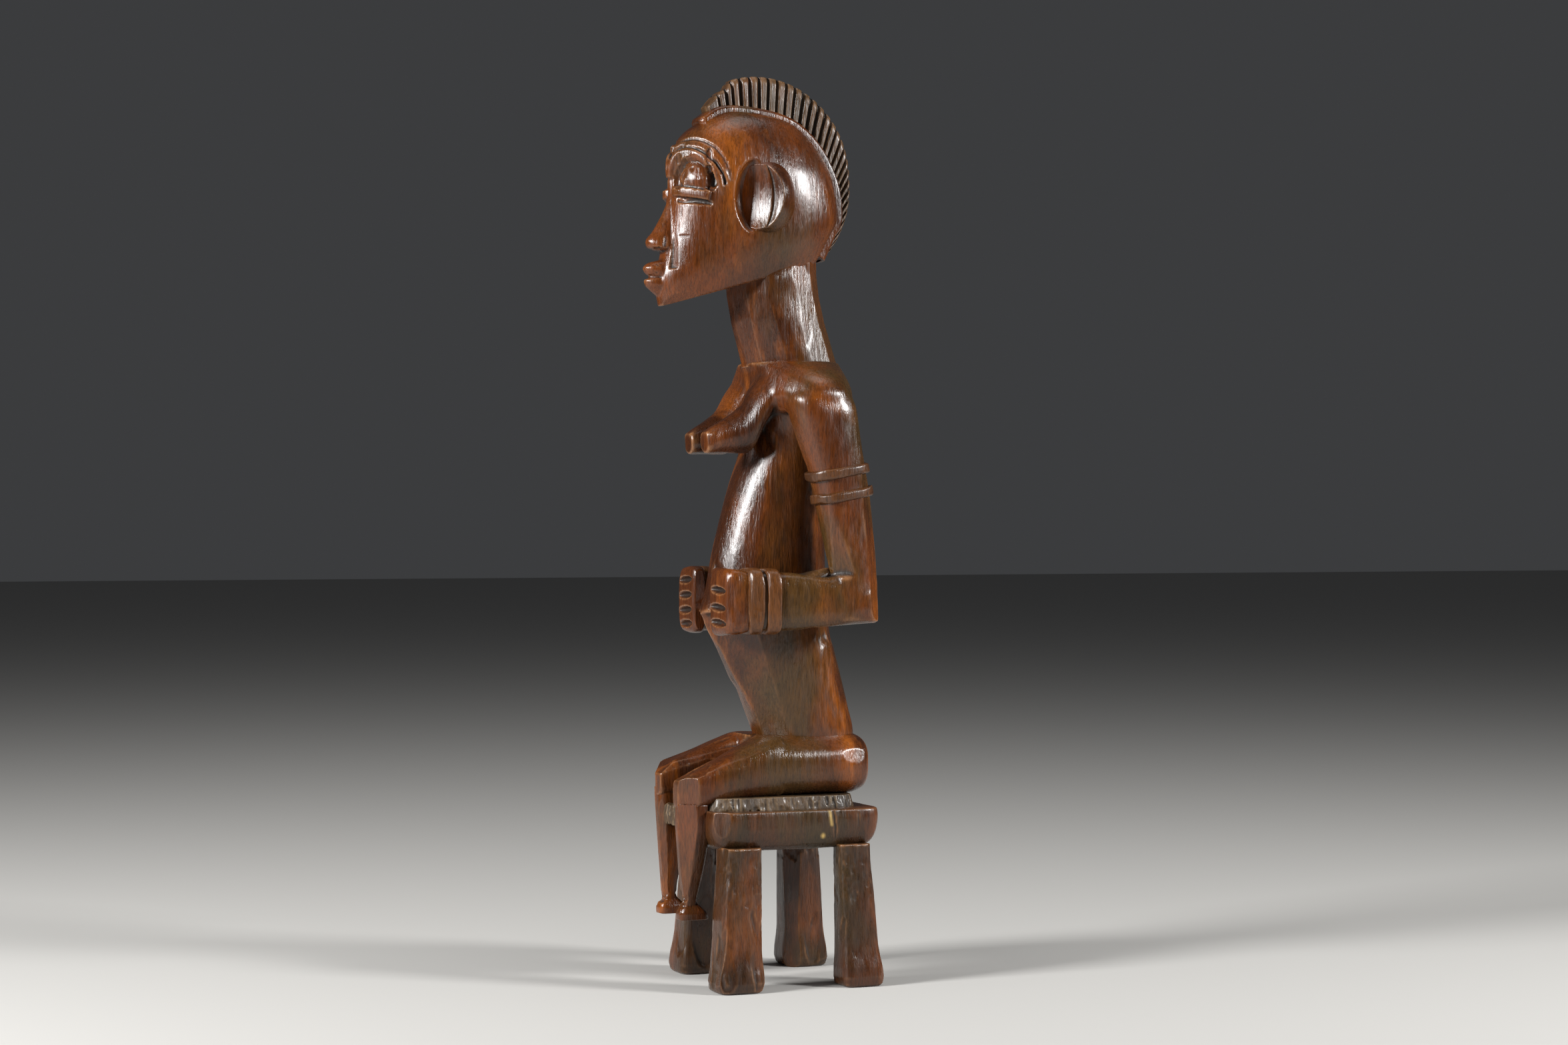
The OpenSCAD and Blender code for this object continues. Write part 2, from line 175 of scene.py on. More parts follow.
def within(x=(-far, far), y=(-far, far), z=(-far, far), side=1, off=-1):
    # Picks one stretch of a piece: the span on each axis, x counted outwards on one side, and more than
    # so far off the middle plane.
    def inside(co):
        here = np.abs(co[:, 0]) > off
        for value, (low, high) in ((co[:, 0] * side, x), (co[:, 1], y), (co[:, 2], z)):
            here &= (value > low) & (value < high)
        return here
    return inside


def spread(values, edges, rounds):
    # Each point takes on the mean of itself and its neighbours, so many times over.
    n = len(values)
    a, b = edges[:, 0], edges[:, 1]
    count = np.bincount(a, minlength=n) + np.bincount(b, minlength=n)
    flat = values.reshape(n, -1).astype(float)
    for _ in range(rounds):
        total = np.stack([np.bincount(a, flat[b, k], n) + np.bincount(b, flat[a, k], n)
                          for k in range(flat.shape[1])], 1)
        flat = flat * 0.5 + 0.5 * total / np.maximum(count, 1)[:, None]
    return flat.reshape(values.shape)


def eased(piece, rounds=1, where=None):
    # Rubs the skin smooth, all of it or one part.
    co = points_of(piece)
    soft = spread(co, edges_of(piece), rounds)
    if where is not None:
        share = spread(where(co).astype(float), edges_of(piece), 6)[:, None]
        soft = co + (soft - co) * share
    set_points(piece, soft)


def whittle(piece, cuts, across, along, depth, seed, where=None, grain=(0, 0, 1)):
    # Shallow knife facets, long with the grain: each takes the skin down to a slightly hollow plane.
    thickest = 2.4   # a chip thicker than this is another form standing close by
    rng = np.random.default_rng(seed)
    co = points_of(piece)
    no = spread(normals_of(piece), edges_of(piece), 6)
    no /= np.maximum(np.linalg.norm(no, axis=1), 1e-6)[:, None]
    pool = np.arange(len(co)) if where is None else np.flatnonzero(where(co))
    grain = np.array(grain, float)
    for i in rng.choice(pool, min(cuts, len(pool)), replace=False):
        p, n = co[i].copy(), no[i]
        w, l, d = across * rng.uniform(0.7, 1.35), along * rng.uniform(0.6, 1.4), depth * rng.uniform(0.5, 1.4)
        run = grain - n * (grain @ n)
        if np.linalg.norm(run) < 0.3:
            run = np.array((0.0, 1.0, 0.0)) - n * n[1]
        run /= np.linalg.norm(run)
        close = np.flatnonzero((np.abs(co - p).max(1) < max(w, l)) & (no @ n > 0.5))
        q = co[close] - p
        h, s = q @ n, q @ run
        t2 = (q * q).sum(1) - h * h - s * s
        r2 = t2 / w**2 + s * s / l**2
        cut = (r2 < 1) & (h > -d * (1 - r2)) & (h < thickest)
        fade = np.clip((thickest - h) / 1.2, 0, 1) * np.clip(4 - 4 * r2, 0, 1)
        co[close[cut]] -= n * ((h + d * (1 - r2)) * fade)[cut][:, None]
    set_points(piece, co)


def pared(piece, point, normal, where=None):
    # One flat cut: nothing stands in front of this plane.
    co = points_of(piece)
    n = np.array(normal, float) / np.linalg.norm(normal)
    h = (co - np.array(point, float)) @ n
    cut = h > 0
    if where is not None:
        cut &= where(co)
    co[cut] -= n * h[cut][:, None]
    set_points(piece, co)


def scored(piece, path, width, depth, into=None, lean=1.5, where=None):
    # A groove along a line on the skin, or a raised line where depth is below zero.
    co = points_of(piece)
    no = spread(normals_of(piece), edges_of(piece), 3)
    path = np.array(path, float)
    gap = np.full(len(co), 1e9)
    for a, b in zip(path, path[1:]):
        d = b - a
        t = np.clip(((co - a) @ d) / (d @ d), 0, 1)
        gap = np.minimum(gap, np.linalg.norm(co - a - t[:, None] * d, axis=1))
    share = np.clip(1 - gap / width, 0, 1)
    share = 1 - (1 - share) ** lean
    if where is not None:
        share = share * where(co)
    co -= (no if into is None else -np.array(into, float) / np.linalg.norm(into)) * (depth * share)[:, None]
    set_points(piece, co)


def handled(piece, pale=None):
    # Years of handling: edges rub light and a fresh chip shows pale wood. Hollows are darkened, partly as dirt and
    # partly as painted shade.
    co, edges, no = points_of(piece), edges_of(piece), normals_of(piece)
    near, wide = spread(co, edges, 3), spread(co, edges, 24)
    fine = ((co - near) * no).sum(1)
    broad = ((co - wide) * no).sum(1)
    # hollow: how deep each point lies in a crease or recess; it darkens the colour, partly as dirt and partly as
    # painted shade
    values = {"worn": np.clip(fine * 7 - 0.35, 0, 1) * 0.6 + np.clip(broad * 0.8 - 0.4, 0, 1) * 0.4,
              "hollow": np.clip(-fine * 9 - 0.2, 0, 1) * 0.7 + np.clip(-broad * 1.0 - 0.2, 0, 1),
              "pale": np.zeros(len(co)) if pale is None else pale(co)}
    for name, value in values.items():
        value = spread(value, edges, 1)
        attribute = piece.data.attributes.new(name, "FLOAT", "POINT")
        attribute.data.foreach_set("value", np.clip(value, 0, 1).astype(np.float32))


def wood(name, deep, warm, bright, green, gloss=0.3, relief=1.0, shift=0.0, worn=(0.33, 0.15, 0.06)):
    # Oiled and handled wood: patches of red-brown, orange and green-black, the green-black partly the wood's own tone
    # and partly a painted reflection, with the grain running up.
    m = bpy.data.materials.new(name)
    m.use_nodes = True
    tree = m.node_tree
    tree.nodes.clear()
    out = tree.nodes.new("ShaderNodeOutputMaterial")
    skin_of = tree.nodes.new("ShaderNodeBsdfPrincipled")
    tree.links.new(skin_of.outputs[0], out.inputs[0])
    where = tree.nodes.new("ShaderNodeTexCoord")

    def put(kind, **sockets):
        node = tree.nodes.new(kind)
        for key, value in sockets.items():
            key = key.replace("_", " ")
            if hasattr(value, "is_output"):
                tree.links.new(value, node.inputs[key])
            else:
                node.inputs[key].default_value = value
        return node

    def grain(scale, stretch, detail=3.0, offset=0.0, rough=0.55, warp=0.0):
        place = put("ShaderNodeMapping", Vector=where.outputs["Object"],
                    Location=(offset + shift, offset * 1.7, offset * 0.6), Scale=(1, 1, stretch))
        return put("ShaderNodeTexNoise", Vector=place.outputs[0], Scale=scale, Detail=detail, Roughness=rough,
                   Distortion=warp).outputs["Fac"]

    def span(value, low, high, to_low=0.0, to_high=1.0):
        return put("ShaderNodeMapRange", Value=value, From_Min=low, From_Max=high,
                   To_Min=to_low, To_Max=to_high).outputs[0]

    def times(a, b, kind="MULTIPLY"):
        node = tree.nodes.new("ShaderNodeMath")
        node.operation = kind
        for k, value in enumerate((a, b)):
            if hasattr(value, "is_output"):
                tree.links.new(value, node.inputs[k])
            else:
                node.inputs[k].default_value = value
        return node.outputs[0]

    def mixed(share, low, high, kind="MIX"):
        node = tree.nodes.new("ShaderNodeMix")
        node.data_type = "RGBA"
        node.blend_type = kind
        for key, value in ((0, share), (6, low), (7, high)):
            if hasattr(value, "is_output"):
                tree.links.new(value, node.inputs[key])
            else:
                node.inputs[key].default_value = value if key == 0 else (*value, 1)
        return node.outputs[2]

    def shaded(colour, value):
        grey = put("ShaderNodeCombineColor", Red=value, Green=value, Blue=value).outputs[0]
        return mixed(1.0, colour, grey, "MULTIPLY")

    def mark(attribute):
        node = tree.nodes.new("ShaderNodeAttribute")
        node.attribute_name = attribute
        return node.outputs["Fac"]

    patch = span(grain(16, 0.5, 4, 3.1, warp=0.6), 0.38, 0.62)
    blaze = span(grain(21, 0.4, 5, 7.7, warp=0.8), 0.52, 0.7)
    # Green-black patches laid at random: partly the wood's own tone, partly a painted reflection.
    green_tone_and_reflection = span(grain(13, 0.45, 4, 12.9, warp=0.5), 0.5, 0.66)
    streak = grain(800, 0.13, 4, 1.3)
    fibre = grain(2300, 0.09, 3, 5.9)
    mottle = grain(300, 0.25, 3, 9.2)
    colour = mixed(patch, deep, warm)
    colour = mixed(times(blaze, 0.85), colour, bright)
    colour = mixed(times(green_tone_and_reflection, 0.8), colour, green)
    colour = shaded(colour, span(streak, 0.3, 0.6, 0.62, 1.1))      # dark lines of the grain
    colour = shaded(colour, span(fibre, 0.36, 0.46, 0.6, 1.0))      # open pores
    rub = times(mark("worn"), span(mottle, 0.35, 0.6, 0.25, 1.0))
    colour = mixed(rub, colour, worn)
    # Creases and recesses go near-black: partly dirt, partly painted shade where they would lie in shadow.
    hollow_dirt_and_shade = times(mark("hollow"), 0.92)
    colour = mixed(hollow_dirt_and_shade, colour, (0.008, 0.0045, 0.0025))
    chip = mark("pale")
    colour = mixed(chip, colour, (0.5, 0.33, 0.1))
    tree.links.new(colour, skin_of.inputs["Base Color"])
    sheen = times(span(mottle, 0.3, 0.7, gloss - 0.07, gloss + 0.13), times(hollow_dirt_and_shade, 0.3), "ADD")
    sheen = times(sheen, times(chip, 0.35), "ADD")
    tree.links.new(sheen, skin_of.inputs["Roughness"])
    skin_of.inputs["Specular IOR Level"].default_value = 0.42
    skin_of.inputs["Coat Weight"].default_value = 0.14
    skin_of.inputs["Coat Roughness"].default_value = 0.16
    low = put("ShaderNodeBump", Height=mottle, Strength=0.6 * relief, Distance=0.0006)
    mid = put("ShaderNodeBump", Height=streak, Strength=0.6 * relief, Distance=0.00045, Normal=low.outputs[0])
    top = put("ShaderNodeBump", Height=fibre, Strength=0.6 * relief, Distance=0.00018, Normal=mid.outputs[0])
    tree.links.new(top.outputs[0], skin_of.inputs["Normal"])
    return m


def finished(piece, material, slot, *nodes, pale=None):
    handled(piece, pale)
    piece.data.materials.clear()
    piece.data.materials.append(material)
    piece.data.shade_smooth()
    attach(piece, "root")
    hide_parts(*nodes)


def offset_of(node, corner=0):
    # A CAD corner in millimetres on the trunk's axis.
    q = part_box(node)[corner]
    return q.x / mm, (q.y - axis_y) / mm, q.z / mm


stool_wood = wood("stool_wood", (0.026, 0.009, 0.0027), (0.075, 0.021, 0.0045), (0.18, 0.048, 0.0075),
                  (0.036, 0.023, 0.007), 0.28)

for which, side, width, seed in (("front_left", 1, 30, 3), ("front_right", -1, 29, 4),
                                 ("back_left", 1, 27.5, 5), ("back_right", -1, 29, 6)):
    node = "stool_leg_" + which
    (x0, y0, z0), (x1, y1, z1) = offset_of(node), offset_of(node, 1)
    half = width / 2
    x = x1 - half if side > 0 else x0 + half
    rear = 1 if which.startswith("front") else -1   # the way from this leg to the stool's middle
    y = y0 + half if rear > 0 else y1 - half
    in_x, in_y = -4 * side, 4 * rear
    bm = bmesh.new()
    skin(bm, flowing([
        level(x, y, z0, half - 1.6, half - 1.6, 5), level(x, y, z0 + 1.6, half, half, 5.5),
        level(x + in_x * 0.3, y + in_y * 0.3, z0 + z1 * 0.3, half - 1.2, half - 1.0, 6),
        level(x + in_x * 0.65, y + in_y * 0.65, z0 + z1 * 0.65, half - 1.9, half - 1.6, 6),
        level(x + in_x, y + in_y, z1, half - 2.5, half - 2.5, 6),
        level(x + in_x, y + in_y, z1 + 3, half - 2.5, half - 2.5, 6)], 4))
    leg = block_of(node + "_carved", bm, 0.9)
    # The inner corner was left heavy and then struck off in one slant.
    pared(leg, (x - side * (half - 3.5), y + (half - 3.5) * rear, 40), (-side, rear, 0))
    pared(leg, (x + side * (half - 2.2), y - (half - 2.2) * rear, 40), (side, -rear, 0.05))
    whittle(leg, 26, 8, 30, 0.08, seed, within(z=(-far, z1 - 12)))
    # Short blade marks under the seat, further down the two left legs.
    marks_down = 34 if side > 0 else 14
    whittle(leg, 240, 1.7, 3.2, 0.17, seed + 40, within(z=(z1 - marks_down, z1 - 1)))
    finished(leg, stool_wood, "stool_wood", node)

# ---- the seat of the stool ----
# A thick slab with a crisp upper edge, bellied sides and a roughly gouged underside, left joined to the
# legs. Its left front corner is struck off in a broad slant, and dry cracks run down its left side.

w, d = (seat_high.x - seat_low.x) / mm / 2, (seat_high.y - seat_low.y) / mm / 2
y, z0, z1 = -2.5, seat_low.z / mm, seat_high.z / mm
bm = bmesh.new()
skin(bm, flowing([
    level(0, y, z, w - inset, d - inset, p) for z, inset, p in (
        (z0, 8, 7), (z0 + 2, 4.5, 8), (z0 + 7, 1.4, 9), (z0 + 14, 0, 10), (z1 - 2.5, 0.3, 12),
        (z1 - 0.2, 0.9, 12), (z1, 1.3, 12))], 4))
seat = block_of("stool_seat_carved", bm, 0.85)
for side, rear, slant in ((1, -1, 4.6), (-1, -1, 3), (1, 1, 2.5), (-1, 1, 3)):
    pared(seat, (side * (w - slant), y + rear * (d - slant), 100), (side, rear, 0.1))
whittle(seat, 50, 9, 16, 0.08, 11, within(z=(z0 + 2, z1 - 3)))
whittle(seat, 30, 9, 36, 0.08, 12, within(z=(z0 + 4, z1 - 3)), grain=(0, 1, 0))
whittle(seat, 160, 5, 14, 0.2, 13, within(z=(-far, z0 + 3)), grain=(0, 1, 0))
whittle(seat, 60, 5, 12, 0.12, 14, within(z=(z1 - 1, far)), grain=(0, 1, 0))
scored(seat, [(w, 20, z1 - 1), (w, 20.8, z1 - 7), (w, 21.6, z1 - 13), (w - 1, 22, z1 - 20)], 0.9, 1.0)
scored(seat, [(w, 38, z1 - 3), (w, 38.4, z1 - 11)], 0.7, 0.6)
scored(seat, [(w - 6, y - d + 1, z0 + 9), (w - 4.5, y - d + 1.5, z0 + 5), (w - 3, y - d + 3, z0 + 7.5),
              (w - 6, y - d + 1, z0 + 9)], 0.9, 0.9)


def dry_chips(co):
    # Two fresh chips of pale wood: a sliver under the rim and a fleck lower down.
    on_side = co[:, 0] > w - 4
    sliver = np.clip(1.6 - np.abs(co[:, 1] - 17.5 - (z1 - co[:, 2]) * 0.13) * 1.4, 0, 1)
    sliver = sliver * (co[:, 2] > z1 - 11) * (co[:, 2] < z1 - 0.5)
    fleck = np.clip(1.7 - np.hypot(co[:, 1] - 13, (co[:, 2] - z1 + 17) * 0.8), 0, 1)
    return np.maximum(sliver * 0.8, fleck) * on_side


finished(seat, stool_wood, "stool_wood", "stool_seat", pale=dry_chips)

# ---- the rough block under the hips ----
# Waste wood between the thighs and the seat, left as the chisel left it: short upright gouges, never rubbed
# smooth or oiled, so it is paler and dusty.

rough_wood = wood("rough_wood", (0.030, 0.017, 0.007), (0.07, 0.036, 0.014), (0.12, 0.068, 0.028),
                  (0.04, 0.032, 0.015), 0.5, 1.6, 4.0, (0.34, 0.23, 0.12))
(_, y0, z0), (x1, y1, z1) = offset_of("seat_block"), offset_of("seat_block", 1)
bm = bmesh.new()
skin(bm, flowing([level(0, (y0 + y1) / 2, z, x1 - inset, (y1 - y0) / 2 - inset, 7) for z, inset in (
    (z0 - 1.5, 0), (z0 + 1, 0.3), (z1 + 1, 2))], 4))
block = block_of("seat_block_carved", bm, 0.7)
whittle(block, 380, 1.9, 3.5, 0.55, 21, within(z=(-far, z1)))
whittle(block, 200, 1.2, 5.0, 0.6, 22, within(z=(-far, z1)))
finished(block, rough_wood, "rough_wood", "seat_block")

# ---- hips and thighs ----
# One broad form, flat on top behind the trunk, that narrows forward into two short thighs. The knees are
# squared off, the right one a little higher than the left.

figure_wood = wood("figure_wood", (0.036, 0.0095, 0.0022), (0.12, 0.030, 0.005), (0.28, 0.075, 0.008),
                   (0.048, 0.028, 0.0075), 0.23)
hips_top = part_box("hips")[1].z / mm
block_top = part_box("seat_block")[1].z / mm
mid = (hips_top + block_top) / 2
half = (hips_top - block_top) / 2 + 1
bm = bmesh.new()
rings = []
for y, wide, share in ((58, 19, 0.38), (56.5, 29, 0.72), (51.5, 38.5, 0.93), (40, 42, 1), (20, 43, 1),
                       (-16, 42, 1), (-22, 41, 0.98)):
    q = upright(0, y, mid + (1 - share) * 4, wide, half * share, 3)
    q[:, 2] = np.clip(q[:, 2], block_top - 0.5, hips_top)
    rings.append(q)
skin(bm, flowing(rings, 5))
right_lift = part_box("right_thigh")[0].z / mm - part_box("left_thigh")[0].z / mm
for side, lift in ((1, 0), (-1, right_lift)):
    rings = []
    for y, x, z, a, c, share in ((-8, 21, 0, 21, 20, 0), (-16, 21.5, 0, 20.5, 20, 0),
                                 (-30, 22.5, -3, 18.5, 17.5, 0.2), (-48, 23, -8.5, 15.5, 14.5, 0.5),
                                 (-62, 23, -13, 13, 12, 0.85), (-71, 23, -15.5, 12, 10.8, 1),
                                 (-74.6, 23, -16.3, 11.6, 10, 1), (-75.6, 23, -16.4, 11, 9.3, 1)):
        q = upright(x, y, mid + z + share * lift, a, c, 2.9 if y > -55 else 4.5)
        q[:, 2] = np.maximum(q[:, 2], seat_high.z / mm + 0.5 + share * lift)
        rings.append(q)
    skin(bm, flowing(rings, 5), side)
hips = block_of("hips_carved", bm, 1.0)
whittle(hips, 60, 10, 36, 0.08, 31, within(z=(block_top + 2, hips_top - 3)), grain=(0, 1, 0))
whittle(hips, 30, 6, 12, 0.07, 32, within(y=(-far, -60)))
scored(hips, [(0, -22, hips_top - 8), (0, -32, mid + 4), (0, -42, mid - 10)], 3.0, 1.5)
for side in (1, -1):
    # A small facet on each buttock, and a squared knee whose slanted facet runs on down the shin.
    pared(hips, (side * 44.6, 27, mid + 1), (side * 0.958, 0.186, 0.219), within(x=(20, far), y=(5, 54), side=side))
    knee = within(x=(5, far), y=(-far, -55), side=side)
    pared(hips, (side * 25, -74, 150), (side * 0.58, -0.815, -0.03), knee)
    pared(hips, (side * 23, -75, mid - 5.5), (0, -0.62, 0.78), knee)
finished(hips, figure_wood, "figure_wood", "hips", "left_thigh", "right_thigh")

# ---- lower legs ----
# Thin squared shins that taper to the ankle and end in small wedge feet, laid against the front of the
# stool's legs. A short bridge of waste wood still ties the calves together under the seat.

for name, side in (("left", 1), ("right", -1)):
    ankle_z, knee_z = offset_of(name + "_shin")[2], offset_of(name + "_shin", 1)[2]
    foot_low = offset_of(name + "_foot")[2]
    long = knee_z - ankle_z
    bm = bmesh.new()
    skin(bm, flowing([level(x, y, knee_z + 3 - share * (long + 3), a, b, p) for share, x, y, a, b, p in (
        (0, 23, -66, 11, 9.5, 4), (0.17, 23, -66, 11.2, 9.7, 5), (0.4, 22, -66, 9.7, 8.7, 5),
        (0.7, 20.5, -66.5, 7.2, 6.7, 4.5), (0.92, 19.5, -67, 5.2, 4.7, 4), (1, 19, -67, 5.2, 4.8, 3.5))], 5), side)
    skin(bm, flowing([level(19, y, z, a, b, 4) for y, z, a, b in (
        (-66.5, ankle_z + 1.5, 4.6, 4.6), (-66, ankle_z - 1.5, 6, 7.5), (-65, ankle_z - 5, 7, 9.7),
        (-64.5, foot_low, 6.4, 10.2))], 3), side)
    shin = block_of(name + "_lower_leg_carved", bm, 0.6)
    pared(shin, (side * 25, -74, knee_z), (side * 0.58, -0.815, -0.059), within(z=(ankle_z + 3, far)))
    pared(shin, (side * 14, -75.4, knee_z), (-side * 0.7, -0.7, -0.07), within(z=(ankle_z + 3, far)))
    pared(shin, (side * 19, -73.5, ankle_z - 1), (0, -0.72, 0.7), within(z=(-far, ankle_z + 3)))
    whittle(shin, 50, 4, 16, 0.1, 41 + side)
    # Two strokes of the knife down the front of the ankle and foot.
    for dx in (-2.2, 2.6):
        scored(shin, [(side * (19 + dx), -70, ankle_z + 3), (side * (19 + dx * 1.3), -74, ankle_z - 4)], 0.8, 0.8)
    finished(shin, figure_wood, "figure_wood", name + "_shin", name + "_foot")

(_, y0, z0), (x1, y1, z1) = offset_of("calf_bridge"), offset_of("calf_bridge", 1)
bm = bmesh.new()
skin(bm, flowing([level(0, (y0 + y1) / 2, z, x1, (y1 - y0) / 2 - inset, 8) for z, inset in (
    (z0, 0.8), (z0 + 1.5, 0), (z1 - 1.5, 0), (z1, 0.8))], 3))
bridge = block_of("calf_bridge_carved", bm, 0.6)
whittle(bridge, 120, 1.8, 5, 0.6, 45)
finished(bridge, rough_wood, "rough_wood", "calf_bridge")

# ---- trunk, shoulders and arms ----
# One fused form. A long column swells forward to a pointed belly and runs up into sloping shoulders; cone
# breasts with flat-cut tips, upper arms set back against the flanks, square elbows and level forearms.

z0, z1 = offset_of("torso")[2], offset_of("torso", 1)[2]
belly = z0 + 0.36 * (z1 - z0)   # level of the belly's point
shoulder_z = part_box("shoulders")[0].z / mm
collar_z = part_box("shoulders")[1].z / mm
elbow_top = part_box("left_upper_arm")[0].z / mm
reach = shoulder_z - elbow_top
drop = np.array((0, 20, 40, 60, 85, 117)) * reach / 117


def arm_at(d, grow=0.0, slope=0.0):
    x = np.interp(d, drop[[0, 2, 5]], (54, 56, 58))
    y = np.interp(d, drop, (11, 15.5, 20.5, 25, 29, 32))
    a = np.interp(d, drop[[0, 1, 2, 3, 5]], (18, 17, 16, 15, 14))
    b = np.interp(d, drop, (23, 20.5, 18, 17.5, 16.5, 16))
    return level(x, y, shoulder_z - d, a + grow, b + grow, 2.8, slope)


def forearm_at(y, grow=0.0):
    x = np.interp(y, (-39.5, -9, 14, 30, 48), (43, 50, 55, 58, 59))
    a = np.interp(y, (-39.5, -9, 14, 30, 48), (10.5, 12.5, 14, 14.5, 14.5))
    low = elbow_top - np.interp(y, (-39.5, -9, 14, 30, 48), (35, 35, 33, 31, 30))
    high = elbow_top + np.interp(y, (-39.5, -9, 14, 30, 48), (4, 3, 0, 0, 0))
    return upright(x, y, (low + high) / 2, a + grow, (high - low) / 2 + grow, 3.8)


bm = bmesh.new()
rings = []
for share, front, back, wide in ((-0.02, -10, 55, 27.5), (0, -12, 55, 28), (0.08, -19, 51, 28.5),
                                 (0.17, -29.5, 46, 29), (0.26, -39.5, 40.5, 30), (0.33, -49, 38, 30.5),
                                 (0.36, -52, 37.5, 30.5), (0.41, -48, 37, 30.5), (0.53, -42.5, 35.5, 30),
                                 (0.62, -37.5, 35, 30), (0.75, -29, 34, 31), (0.85, -21, 34, 33),
                                 (0.93, -18, 35, 37), (0.98, -15, 37, 48), (1.02, -14, 39, 60)):
    p = 2.5 if share < 0.3 else 2.1
    rings.append(level(0, (front + back) / 2, z0 + share * (z1 - z0), wide, (back - front) / 2, p))
# The belly comes to an edge, so the column is two stacks that meet there.
skin(bm, flowing(rings[:7], 5))
skin(bm, flowing(rings[6:], 5))
yoke = [level(0, y, z, a, b, p) for y, z, a, b, p in (
    (13, shoulder_z - 9, 66, 25, 2.4), (12.5, shoulder_z - 3, 71, 29, 2.4), (12, shoulder_z + 1, 71.5, 30.5, 2.4),
    (11.5, shoulder_z + 10, 67.5, 29.5, 2.4), (11, shoulder_z + 18, 56.5, 29.5, 2.3), (11, collar_z, 39, 32, 2.2))]
for q in yoke[:-1]:
    q[:, 1] = np.maximum(q[:, 1], -20)
skin(bm, flowing(yoke, 5))
for side in (1, -1):
    skin(bm, flowing([upright(x, y, shoulder_z + z, a, c, 2.2) for y, x, z, a, c in (
        (-2, 21, 14, 18, 10), (-8, 21, 10, 19, 12.5), (-14, 20.5, 3, 19, 15.5), (-19.5, 20, -5.5, 18.5, 17.5),
        (-25, 19.5, -15, 17.5, 20), (-31, 18.5, -20.5, 15, 15.5), (-40, 17, -24, 12, 12),
        (-48, 16, -26.5, 9.5, 9.5), (-54, 15, -28, 8, 8), (-56, 15, -28, 6.8, 6.8))], 5), side)
    skin(bm, flowing([arm_at(d, grow, slope) for d, grow, slope in (
        (-9, -11, 0), (-5, -5.5, 0), (1, -1.5, 0), (9, 0, 0.05), (20, 0, 0.12), (45, 0, 0.18), (67, 0, 0.18),
        (90, 0, 0.1), (reach, 0, 0), (reach + 14, 0, 0), (reach + 28.6, -0.5, 0))], 5), side)
    skin(bm, [forearm_at(y, -1.6 if y > 47 else 0) for y in (
        47.6, 46, 40, 34, 28, 22, 16, 10, 4, -2, -9, -16, -24, -32, -39.5)], side)
body = block_of("trunk_and_arms_carved", bm, 1.28)
eased(body, 9, within(y=(-46, far), z=(shoulder_z - 42, far)))
for side in (1, -1):
    # The front of the trunk narrows to a strip between two long side facets.
    pared(body, (side * 9, -43.7, belly), (side * 0.62, -0.72, -0.29),
          within(x=(0, 32), y=(-far, 0), z=(belly - 90, belly), side=side))
    # The arm is squared above the elbow: a long facet on each outer corner and one inside.
    for nx, ny, nz, gap, low, ahead in ((0.75, -0.66, -0.187, 14.8, 0.3, 0), (0.75, 0.66, 0.069, 15, -40, 34),
                                        (-0.55, -0.83, -0.259, 15, 0.3, 0)):
        pared(body, (side * (57.6 + nx * gap), 30.5 + ny * gap, shoulder_z - 100), (side * nx, ny, nz),
              within(x=(38, far), y=(ahead, far), z=(elbow_top + low, shoulder_z - 28), side=side))
    # The breast's tip is cut off flat, with a facet above and one outside.
    for (x, y, down), normal, front in (((15, -55.2, 24), (0, -1, -0.08), -50), ((15, -52, 20), (0, -0.6, 0.8), -44),
                                        ((23, -52, 27), (side * 0.8, -0.6, 0), -44)):
        pared(body, (side * x, y, shoulder_z - down), normal,
              within(x=(0, far), y=(-far, front), z=(shoulder_z - 60, far), side=side))
    scored(body, [(side * x, y, shoulder_z - down) for x, y, down in (
        (24, -48, 19), (24.5, -50, 27), (23, -50, 35))], 1.6, 0.8)
column, under_yoke = (-40, 40), (-far, shoulder_z - 12)
eased(body, 4, within(x=column, y=(-far, -16), z=(belly + 8, shoulder_z - 12)))
eased(body, 6, within(x=(-18, 18), y=(-far, -30), z=(belly - 5, belly + 5)))
whittle(body, 26, 4.5, 55, 0.12, 52, within(x=column, y=(-far, -16), z=under_yoke, off=8))
whittle(body, 60, 9, 50, 0.09, 51, within(x=column, z=under_yoke, off=6))
whittle(body, 60, 9, 30, 0.07, 61, within(z=(elbow_top + 4, shoulder_z - 10), off=40))
whittle(body, 40, 9, 30, 0.07, 62, within(z=(-far, elbow_top - 4), off=40), grain=(0, 1, 0.1))
eased(body)
finished(body, figure_wood, "figure_wood", "torso", "shoulders", "left_breast", "right_breast",
         "left_upper_arm", "right_upper_arm", "left_forearm", "right_forearm")

# ---- armlets and bracelets ----
# Raised rings left standing round each arm: two above the elbow and two at the wrist. Their edges wander
# with the blade and are rubbed down to the bright wood.

ring_wood = wood("ring_wood", (0.045, 0.016, 0.0045), (0.11, 0.038, 0.009), (0.20, 0.072, 0.015),
                 (0.062, 0.040, 0.011), 0.3, 1.0, 2.0, (0.42, 0.20, 0.085))


def ringed(stations, side, node, wobble, seed):
    # One raised ring: outlines grown from the arm's own, with an edge that wanders a little.
    rng = np.random.default_rng(seed)
    bm = bmesh.new()
    turn = np.arange(72) * 2 * np.pi / 72
    rings = []
    for q, along, edge in stations:
        wave = sum(np.sin(turn * k + rng.uniform(0, 6)) * rng.uniform(0.2, 0.6) for k in (2, 3, 5)) * wobble * edge
        rings.append(q + wave[:, None] * np.array(along))
    skin(bm, rings, side)
    piece = block_of(node + "_carved", bm, 0.5)
    whittle(piece, 70, 3.2, 6, 0.16, seed)
    finished(piece, ring_wood, "ring_wood", node)


